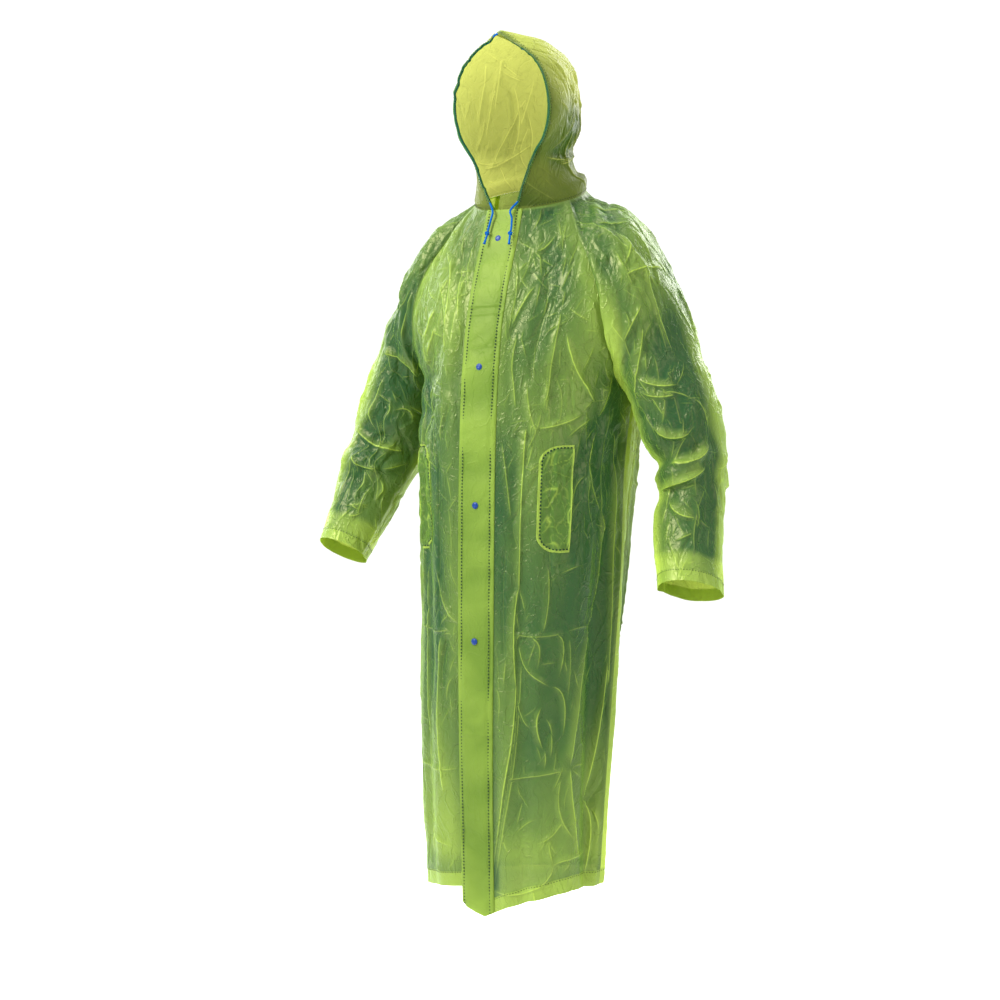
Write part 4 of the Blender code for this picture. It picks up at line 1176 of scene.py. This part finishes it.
def film(
    name, look, painted_light, wrinkle=0.0005, lines=1.0, inside=0.6, rough=0.30, ior=1.48, sheen=0.9, gloss=0.4
):
    """Thin plastic film: some light passes straight through, tinted, some scatters through it, and
    the rest scatters back or glints off its surface. Its third argument gives its milk and body as
    lit colours, painted light, which it mixes towards by its glow (painted light, random tone and
    doubled film), along its creases' painted highlight lines, and on its inner side; `inside` is
    how much painted light that inner side shows."""
    tint, milk, body, clear = look
    made, tree, out = new_material(name)
    normal = crinkle_bump(tree, 0.006, wrinkle)
    if lines:
        normal = crease_lines(tree, normal, 0.034, 0.035, 0.0008 * lines, 1.8)
        normal = crease_lines(tree, normal, 0.015, 0.050, 0.0004 * lines, 1.3)
    # painted light on the inner side: it shows the lit colours by `inside`, and little of the outer glow
    back_side = add_node(tree, "NewGeometry", {}).outputs["Backfacing"]
    less = math_node(tree, "MULTIPLY_ADD", back_side, -0.9, 1.0)
    outer = math_node(tree, "MULTIPLY", less, attribute(tree, "glow"))
    most = math_node(tree, "MULTIPLY_ADD", back_side, inside, outer, clamp=True)
    # the painted highlight lines along the creases, from how far the nearest one is
    core = near_zero(tree, attribute(tree, "line"), 0.0003, 0.0015)
    painted_shine = math_node(tree, "MULTIPLY", core, attribute(tree, "painted_shine"))
    share = math_node(tree, "ADD", most, painted_shine, clamp=True)
    # milk and body, mixed from their own colours towards the painted lit colours
    milk, body = (
        add_node(tree, "MixRGB", {0: share, 1: linear(dull), 2: linear(light)}).outputs["Color"]
        for dull, light in zip((milk, body), painted_light)
    )
    scatter = add_node(tree, "BsdfTranslucent", {"Color": milk, "Normal": normal})
    surface = {
        "Base Color": body,
        "Normal": normal,
        "Roughness": rough,
        "IOR": ior,
        "Specular IOR Level": gloss,
        "Specular Tint": linear((0.98, 0.95, 0.70)),
        "Sheen Weight": sheen,
        "Sheen Roughness": 0.30,
        "Sheen Tint": linear((0.66, 0.86, 0.32)),
    }
    surface = add_node(tree, "BsdfPrincipled", surface)
    layers = {"Fac": SURFACE_SHARE, 1: scatter.outputs[0], 2: surface.outputs[0]}
    solid = add_node(tree, "MixShader", layers)
    through = add_node(tree, "BsdfTransparent", {"Color": linear(tint)})
    whole = add_node(tree, "MixShader", {"Fac": 1 - clear, 1: through.outputs[0], 2: solid.outputs[0]})
    tree.links.new(whole.outputs[0], out)
    return made


def plain(name, colour, roughness, gloss, wrinkle=None):
    made, tree, out = new_material(name)
    inputs = {"Base Color": linear(colour), "Roughness": roughness, "Specular IOR Level": gloss}
    if wrinkle:
        inputs["Normal"] = crinkle_bump(tree, *wrinkle)
    tree.links.new(add_node(tree, "BsdfPrincipled", inputs).outputs[0], out)
    return made


# Painted light: lit copies of the films' milk and body colours, which their glow, crease lines and inner
# sides mix towards.
PAINTED_LIT_FILM = ((0.75, 0.80, 0.30), (0.60, 0.70, 0.29))
PAINTED_LIT_HOOD = ((0.72, 0.72, 0.36), (0.55, 0.59, 0.30))
# Each film's tint, milk and body, and the share of its light that passes straight through.
BODY_LOOK = ((0.70, 0.76, 0.34), (0.17, 0.33, 0.13), (0.09, 0.24, 0.15), 0.05)
HOOD_LOOK = ((0.80, 0.84, 0.42), (0.17, 0.28, 0.07), (0.08, 0.17, 0.05), 0.07)
CASING_LOOK = ((0.80, 0.90, 0.66), (0.20, 0.42, 0.24), (0.12, 0.34, 0.22), 0.55)
BAND_LOOK = ((0.78, 0.84, 0.38), (0.50, 0.57, 0.16), (0.36, 0.48, 0.17), 0.24)
STRIP_LOOK = ((0.70, 0.84, 0.40), (0.43, 0.50, 0.15), (0.34, 0.45, 0.15), 0.05)
POCKET_LOOK = ((0.76, 0.82, 0.42), (0.44, 0.50, 0.17), (0.28, 0.41, 0.18), 0.22)
# `inside`: how much painted light each film's inner side shows
FILM = film("film", BODY_LOOK, PAINTED_LIT_FILM, inside=0.5, rough=0.33, sheen=0.7)
FILM_NECK = film("film_neck", BODY_LOOK, PAINTED_LIT_HOOD, inside=0.30, rough=0.33, sheen=0.7)
MATT = {"rough": 0.40, "ior": 1.40, "sheen": 0.0, "gloss": 0.14}
FILM_HOOD = film("film_hood", HOOD_LOOK, PAINTED_LIT_HOOD, inside=0.69, **MATT)
FILM_CASING = film("film_casing", CASING_LOOK, PAINTED_LIT_HOOD, lines=0, inside=0.0, sheen=0.1)
FILM_BAND = film("film_band", BAND_LOOK, PAINTED_LIT_FILM, lines=0)
FILM_STRIP = film("film_strip", STRIP_LOOK, PAINTED_LIT_FILM, 0.0003, 0.4, rough=0.5, ior=1.40, sheen=0.3)
FILM_POCKET = film("film_pocket", POCKET_LOOK, PAINTED_LIT_FILM, 0.0006)
THREAD = plain("thread", (0.03, 0.13, 0.06), 0.8, 0.2)
SNAP = plain("snap_plastic", (0.00, 0.14, 0.36), 0.36, 0.18, wrinkle=(0.004, 0.0001))
CORD = plain("cord_blue", (0.00, 0.25, 0.48), 0.95, 0.1, wrinkle=(0.0007, 0.0003))
FLOOR = plain("floor_pale", (0.985, 0.985, 0.98), 1.0, 0.5)


# ---- the cut pieces -----------------------------------------------------------------------------
SLOT = {name: "film_single" if name.startswith("hood") else "film" for name in PANELS}
made_film = {}
for name, panel in PANELS.items():
    closed = None if panel.tube_from is None else int(np.argmax(panel.rows >= panel.tube_from))
    values = {"glow": panel.glow, "line": panel.line, "painted_shine": panel.painted_shine, "closed_from": closed}
    sheet = (panel.points(), panel.out, FILM_HOOD if name.startswith("hood") else FILM)
    made_film[name] = add_sheet(f"{name}_film", *sheet, name, SLOT[name], **values)
    if name == "back":
        # the back's neck area, with the hood's painted lit colours on its inner side
        second, where = FILM_NECK, panel.z > -0.075
    else:
        second, where = FILM_CASING, panel.edges["last"] < (CASING_WIDTH - 0.0015) * panel.slant[:, None]
    if name == "back" or name.startswith("hood"):
        mesh = made_film[name].data
        mesh.materials.append(second)
        mesh.polygons.foreach_set("material_index", where[:-1, :-1].ravel().astype(np.int32))
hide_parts("sleeve_right_lower")


# ---- hems, seams and the strip ------------------------------------------------------------------
ALLOWANCE = 0.008
LAYER = 0.0007  # film over film
SEAM_LINE = 0.0085  # from the strip's edges to its stitching
STRIP_LIFT = 0.0019  # the strip's face over the left front
# ridges across the strip: their heights on the coat and out of it, in millimetres
STRIP_RIDGES = ((-190, 1.6), (-204.5, 1.4), (-118, 0.7), (-640, 0.7), (-930, 0.9))
POCKET_CORNER = (0.040, 0.032)  # across and down
POCKET_STITCH = 0.0052  # from the pocket's edge
POCKET_ROWS = (6.85, 8.10)
POCKET_SHARES = (0.285, 0.523)  # from the strip's edge to the side
FINE_STITCH = (0.0050, 0.0024, 0.0006)  # pitch, length and width
HOOD_STITCH = (0.0050, 0.0022, 0.0006)
NECK_STITCH = (0.0050, 0.0022, 0.0007)
STRIP_STITCH = (0.0056, 0.0030, 0.0013)
POCKET_STITCHES = (0.0062, 0.0038, 0.0013)


def shares_at(panel, edge, rows, away):
    """Shares that lie `away` metres from a panel's first or last edge, on each row."""
    sign = 1 if edge == "first" else -1
    places = np.searchsorted(panel.rows, rows)
    slants = panel.slant[places] if edge == "last" else np.ones(len(places))
    lines = panel.edges[edge][places]
    known = panel.shares[::sign]
    return np.stack([np.interp(np.asarray(away) * s, x[::sign], known) for s, x in zip(slants, lines)])


def strip_along(panel, edge, near, far, cells, lift, start=0.0, end=1.0):
    """A strip of a panel between two distances from one of its edges: points and outward ways.
    `start` and `end` are the rows or shares it runs between, as parts of the whole."""
    away = np.linspace(near, far, cells + 1)
    if edge in ("first", "last"):
        whole = panel.rows / panel.rows[-1]
        rows = panel.rows[(whole >= start) & (whole <= end)]
        return panel.at(rows[:, None], shares_at(panel, edge, rows, away), lift)
    sign = 1 if edge == "top" else -1
    columns = (panel.shares >= start) & (panel.shares <= end)
    lines = panel.edges[edge][:, columns].T
    rows = np.stack([np.interp(away, line[::sign], panel.rows[::sign]) for line in lines], 1)
    return panel.at(rows, panel.shares[columns][None, :], lift)


threads = []
trims = {name: [] for name in PANELS}


def stitch(name, edge, away, look, start=0.0, end=1.0):
    """A row of stitches along a panel's edge."""
    points, out = strip_along(PANELS[name], edge, away, away + 1e-5, 1, 0.0002, start, end)
    line = (points[:, 0], out[:, 0]) if edge in ("first", "last") else (points[0], out[0])
    threads.append((*line, *look))


def add_trim(name, part, strip, material=FILM_BAND):
    trims[name].append(add_sheet(f"{name}_{part}", *strip, material, slot=SLOT[name]))


def turn_in(name, part, edge, width=ALLOWANCE, cells=3, start=0.0, end=1.0, material=FILM_BAND):
    """A seam allowance, hem or cuff, turned in behind a panel's edge. An allowance starts just
    inside its seam."""
    near = 0.0005 if width == ALLOWANCE else 0
    strip = strip_along(PANELS[name], edge, near, width, cells, -LAYER, start, end)
    add_trim(name, part, strip, material)


for name in ("front_left", "front_right", "back"):
    turn_in(name, "hem", "bottom", HEM_WIDTH, 9)
    stitch(name, "bottom", HEM_WIDTH - 0.003, FINE_STITCH)
for name in ("sleeve_left", "sleeve_right"):
    turn_in(name, "cuff", "bottom", CUFF_WIDTH, 8)
    stitch(name, "bottom", CUFF_WIDTH - 0.003, FINE_STITCH)
    for edge in ("first", "last"):
        turn_in(name, f"seam_{edge}", edge, end=UNDERARM / CUFF)
    turn_in(name, "seam_neck", "top")
for name in ("front_left", "front_right"):
    turn_in(name, "seam_side", "last", start=UNDERARM / HEM_ROW)
for name in ("hood_left", "hood_right"):
    panel = PANELS[name]
    turn_in(name, "seam_crown", "first", material=FILM_HOOD)
    stitch(name, "first", 0.0035, HOOD_STITCH, 0, 0.94)
    stitch(name, "last", CASING_WIDTH - 0.001, HOOD_STITCH, 0.02, 0.92)
    away = np.array([0, 0.0006, 0.0018, 0.0036, 0.0050, 0.0062, CASING_WIDTH])
    inward = np.array([0, 0.0028, 0.0048, 0.0048, 0.0034, 0.0014, LAYER])
    shares = shares_at(panel, "last", panel.rows, away)
    add_trim(name, "casing", panel.at(panel.rows[:, None], shares, -inward), FILM_CASING)
    stitch(name, "top", 0.0035, NECK_STITCH, 0, 0.9)


def add_strip():
    """The several-layer strip over the left front's free edge, stitched near both of its sides."""
    panel = PANELS["front_left"]
    wide = 2 * PLACKET_HALF_WIDTH
    away = np.concatenate([[0, 0.0004], np.linspace(0.0012, wide - 0.0012, 34), [wide - 0.0004, wide]])
    base, out = panel.at(panel.rows[:, None], shares_at(panel, "first", panel.rows, away))
    inset = np.minimum(away, wide - away)[None, :]
    lift = STRIP_LIFT * np.sqrt(np.clip(1 - (1 - np.clip(inset / 0.0012, 0, 1)) ** 2, 0, 1))
    lift = lift + 0.0009 * smooth((inset - 0.009) / 0.008) - 0.0002 * bump((inset - SEAM_LINE) / 0.0022)
    down = panel.down[:, :1] + away * 0
    wave = 0.0011 * read_map(SWELLS[2], down / 0.030, away / 0.05 + down * 3)
    wave = wave + 0.0006 * read_map(SOFT_MAPS[0], down / 0.016 + away / 0.05, away / 0.024 + 7)
    lift = lift + wave * smooth(inset / 0.005)
    for z, height in STRIP_RIDGES:
        tilted = z / 1000 + (away - wide / 2) * 0.05
        ridge = bump((base[..., 2] - tilted) / 0.0042) * smooth(inset / 0.004)
        lift = lift + height / 1000 * ridge
    # painted highlight where the strip's waves rise, random patches, and lighter bands along its edges
    tone_and_painted_light = 0.10 + 0.08 * wave / 0.001 + 0.09 * read_map(SWELLS[1], down / 0.19 + 3, away / 0.09)
    tone_and_painted_light = np.clip(tone_and_painted_light + 0.07 * (inset < SEAM_LINE), 0, 1)
    points = base + out * lift[..., None]
    made = add_sheet("placket_strip", points, out, FILM_STRIP, "placket", "film_strip", glow=tone_and_painted_light)
    for column in (SEAM_LINE, wide - SEAM_LINE):
        shares = shares_at(panel, "first", panel.rows, [column])[:, 0]
        threads.append((*panel.at(panel.rows, shares, STRIP_LIFT + 0.0001), *STRIP_STITCH))


def pocket_place(side, u, v):
    """A pocket's point at u from its rounded edge to its opening and v from its top to its foot."""
    rows = POCKET_ROWS[0] + (POCKET_ROWS[1] - POCKET_ROWS[0]) * v
    edge = np.abs(torso_turn(side * PLACKET_HALF_WIDTH, rows))
    share = POCKET_SHARES[0] + (POCKET_SHARES[1] - POCKET_SHARES[0]) * u
    return rows, (2 * edge + (90 - edge) * share) / (90 + edge)


def add_pocket(name, side):
    """A patch pocket, straight at its opening and rounded towards the strip, wrinkled inside."""
    panel = PANELS[f"front_{name}"]
    v = np.linspace(0, 1, 100)
    u = np.linspace(0, 1, 44)
    outline, opening = (panel.at(*pocket_place(side, end, v))[0] for end in (0, 1))
    height, width = np.ptp(outline[:, 2]), np.linalg.norm(opening - outline, axis=1).mean()
    corner_x, corner_y = POCKET_CORNER

    def inset(v):
        """How far in the rounded edge lies, as a share of the width."""
        into = np.clip(1 - np.minimum(v, 1 - v) * height / corner_y, 0, 1)
        return (1 - np.sqrt(1 - into**2)) * corner_x / width

    across = inset(v)[:, None] + u[None, :] * (1 - inset(v)[:, None])
    rows, shares = pocket_place(side, across, v[:, None])
    x, y = across * width, v[:, None] * height + across * 0
    turn = np.linspace(-90, 90, 61)
    rounded = np.abs(np.sin(np.radians(turn)))
    rim_y = np.where(turn < 0, corner_y, height - corner_y) + np.sign(turn) * rounded * corner_y
    rim = np.stack([inset(rim_y / height) * width, rim_y, turn * 0], -1)
    rim = even(np.vstack([[width, 0, 0], rim, [width, height, 0]]), 0.0015)[:, :2]
    edge = np.sqrt(((np.stack([x, y], -1)[:, :, None] - rim) ** 2).sum(-1)).min(-1)
    inside = smooth((edge - 0.004) / 0.012)
    wrinkle = read_map(SOFT_MAPS[0], x / 0.019 + 5 + y / 0.05, y / 0.026)
    fine = read_map(MAPS[1], x / 0.010 + 3, y / 0.013 - x / 0.03)
    lip = smooth((x - width + 0.010) / 0.010) * smooth(y / 0.02) * smooth((height - y) / 0.02)
    lift = 0.0009 + inside * (0.0014 + 0.0016 * wrinkle + 0.0007 * fine) + 0.0022 * lip
    lift = lift - 0.0006 * bump((edge - POCKET_STITCH) / 0.003)
    # painted highlights along the pocket's wrinkles; lighter along its stitched edge and opening
    lines = np.clip(1.1 - np.abs(wrinkle - 0.1) / 0.10, 0, 1) * 0.60
    lines = lines + np.clip(1 - np.abs(fine) / 0.12, 0, 1) * 0.30
    glow = np.maximum(inside * lines, 0.75 * (1 - smooth((edge - POCKET_STITCH + 0.001) / 0.002)))
    glow = np.maximum(glow, 0.9 * smooth((x - width + 0.0035) / 0.0015))
    points, out = panel.at(rows, shares, lift)
    patch = (points, out, FILM_POCKET, f"pocket_{name}", "film_strip")
    made = add_sheet(f"pocket_{name}_patch", *patch, glow=glow)
    inward = np.stack([-np.gradient(rim[:, 1]), np.gradient(rim[:, 0])], -1)
    inward *= np.sign(np.sum(inward * ([width * 0.72, height / 2] - rim), axis=-1))[:, None]
    path = rim + unit(inward) * POCKET_STITCH
    path = path[path[:, 0] < width - 0.001]
    line = panel.at(*pocket_place(side, path[:, 0] / width, path[:, 1] / height), 0.0006)
    threads.append((*line, *POCKET_STITCHES))
    lip = (points[:, -8:] - out[:, -8:] * 0.0006, out[:, -8:])
    lip = add_sheet(f"pocket_{name}_rim", *lip, FILM_BAND, slot="film_strip")


def facing(points, place, way):
    """Points made round the origin's Z axis, moved to a place with that axis along a way."""
    turn = np.array(Vector(way).to_track_quat("Z", "Y").to_matrix())
    return points.reshape(-1, 3) @ turn.T + place


def add_snaps():
    """The press studs' caps, turned round their axes, each with a rim, a groove and a shallow dimple."""
    panel = PANELS["front_left"]
    radius = np.array([0.86, 0.98, 1.0, 0.97, 0.84, 0.78, 0.73, 0.56, 0.38, 0.30, 0.16, 0.0]) * SNAP_RADIUS
    radius[-1] = 0.00001
    height = np.array([-0.40, 0.10, 0.50, 0.90, 1.35, 1.25, 1.50, 2.00, 2.22, 2.12, 2.00, 1.98]) / 1000
    turn = np.linspace(0, math.tau, 28, endpoint=False)
    cap = np.stack(np.broadcast_arrays(np.cos(turn), np.sin(turn), height[:, None]), -1)
    cap[..., :2] *= radius[:, None, None]
    faces = faced(cap, quads(cap.shape[:2], ring=True), cap - [0, 0, height.mean()])
    shares = shares_at(panel, "first", panel.rows, [PLACKET_HALF_WIDTH])[:, 0]
    points, ways = panel.at(panel.rows, shares, STRIP_LIFT + 0.0009)
    for number, z in enumerate(SNAP_HEIGHTS, 1):
        k = int(np.argmin(np.abs(points[:, 2] - z)))
        mesh = (facing(cap, points[k], ways[k]), faces)
        add_mesh(f"snap_{number}_cap", *mesh, SNAP, f"snap_{number}", "snap")


def knot():
    """An overhand knot's own loop: it comes in from above and leaves below."""
    t = np.linspace(0, math.tau, 90)[:-6]
    x, y = np.sin(t) + 2 * np.sin(2 * t), np.cos(t) - 2 * np.cos(2 * t)
    return np.stack([x, y, -1.15 * np.sin(3 * t)], -1) * 0.00105


def add_cords():
    """The drawcord in the hood's edge and its two free ends, each with its knot and tail."""
    held = []
    for name in ("hood_left", "hood_right"):
        panel = PANELS[name]
        rows = np.linspace(0.4, HOOD_TOP - 0.09, 200)
        shares = shares_at(panel, "last", panel.rows, [0.0030])[:, 0]
        held.append(panel.at(rows, np.interp(rows, panel.rows, shares), -0.0024)[0])
    path = even(np.vstack([held[0], held[1][::-1]]), 0.0012)
    add_mesh("drawcord_tube", *tube(path, CORD_RADIUS, 12, 0.10, closed=False), CORD, "drawcord", "cord")
    t = np.linspace(0, 1, 30)
    ends = (("left", LEFT_CORD, 0.0012), ("right", RIGHT_CORD, -0.0010))
    for (name, route, lean), first in zip(ends, held):
        fall = stacked(route, "x y z")
        way = unit(first[0] - first[8])
        path = np.vstack([first[0] + way * 0.0003, first[0] + way * 0.006, fall])
        path = even(spline(path, np.linspace(0, len(path) - 1, 400)), 0.0006)
        end = tube(path, CORD_RADIUS, 16, 0.10)
        end = add_mesh(f"drawcord_end_{name}_tube", *end, CORD, f"drawcord_end_{name}", "cord")
        down = unit(fall[-1] - fall[-2])
        centre = fall[-1] + down * KNOT_LENGTH * 0.5
        sway = t[:, None] ** 2 * [lean, -0.0006, 0]
        tail = centre + down * (KNOT_LENGTH * 0.35 + TAIL_LENGTH * t[:, None]) + sway
        widths = CORD_RADIUS * np.interp(t, [0, 0.8, 0.94, 1], [0.95, 1.0, 1.25, 1.5])
        tie = joined([tube(facing(knot(), centre, down), 0.00150, 12, 0.10), tube(tail, widths, 12, 0.12)])
        tie = add_mesh(f"drawcord_knot_{name}_tied", *tie, CORD, f"drawcord_knot_{name}", "cord")
        float(run_of(path)[-1])


add_strip()
add_pocket("left", 1)
add_pocket("right", -1)
add_snaps()
add_cords()
add_mesh("stitching", *joined([stitches(*thread) for thread in threads]), THREAD)

# ---- each panel's cell sizes, read and not used -------------------------------------------------
for name, panel in PANELS.items():
    down, across = panel.cells


# ---- camera, floor and light --------------------------------------------------------------------
PHOTO_ANGLE = math.radians(30)  # the camera stands round to the wearer's left
CAMERA_AWAY, CAMERA_SIDE, CAMERA_HEIGHT = 4.2, -0.072, -0.37
CAMERA_AIM_HEIGHT = -0.532
LIGHT_AIM = (0, -0.05, -0.5)
FLOOR_HALF_WIDTH = 30.0
FLOOR_DROP = 0.28  # the coat hangs this far over the floor
right = np.array([math.cos(PHOTO_ANGLE), math.sin(PHOTO_ANGLE), 0])
toward = np.array([math.sin(PHOTO_ANGLE), -math.cos(PHOTO_ANGLE), 0])


def add_object(name, data, place=(0, 0, 0), target=None):
    made = bpy.data.objects.new(name, data)
    bpy.context.scene.collection.objects.link(made)
    if target is not None:
        made.location = place
        made.rotation_euler = (Vector(target) - Vector(place)).to_track_quat("-Z", "Y").to_euler()
    return made


def add_light(name, place, size, power, colour=(1, 1, 1)):
    light = bpy.data.lights.new(name, "AREA")
    light.shape = "RECTANGLE"
    light.size, light.size_y = size
    light.energy = power
    light.color = colour
    add_object(name, light, place, LIGHT_AIM)


lens = bpy.data.cameras.new("camera")
lens.lens, lens.sensor_width, lens.clip_start = 84, 36, 0.05
place = toward * CAMERA_AWAY + right * CAMERA_SIDE + [0, 0, CAMERA_HEIGHT]
aim = right * CAMERA_SIDE + [0, 0, CAMERA_AIM_HEIGHT]
bpy.context.scene.camera = add_object("camera", lens, place, aim)

floor_mesh = bpy.data.meshes.new("floor")
half, level = FLOOR_HALF_WIDTH, cad_box[0].z - FLOOR_DROP
corners = [(-half, -half, level), (half, -half, level), (half, half, level), (-half, half, level)]
floor_mesh.from_pydata(corners, [], [(0, 1, 2, 3)])
floor_mesh.materials.append(FLOOR)
add_object("floor", floor_mesh)

add_light("key", toward * 1.6 - right * 2.8 + [0, 0, 1.9], (1.6, 2.2), 420)
add_light("fill", toward * 2.4 + right * 2.4 + [0, 0, 0.6], (1.2, 2.4), 70)
add_light("rim", -toward * 2.4 + right * 1.8 + [0, 0, 1.2], (1.2, 2.4), 95)
add_light("back", -toward * 2.4 - right * 2.0 + [0, 0, 0.9], (1.2, 2.4), 70)
add_light("top", (0, -0.1, 2.6), (1.2, 1.2), 60, (1, 0.98, 0.90))

world = bpy.data.worlds.new("studio")
world.use_nodes = True
world.node_tree.nodes["Background"].inputs["Color"].default_value = (1, 1, 1, 1)
world.node_tree.nodes["Background"].inputs["Strength"].default_value = 1.12
bpy.context.scene.world = world
bpy.context.scene.view_settings.view_transform = "Standard"
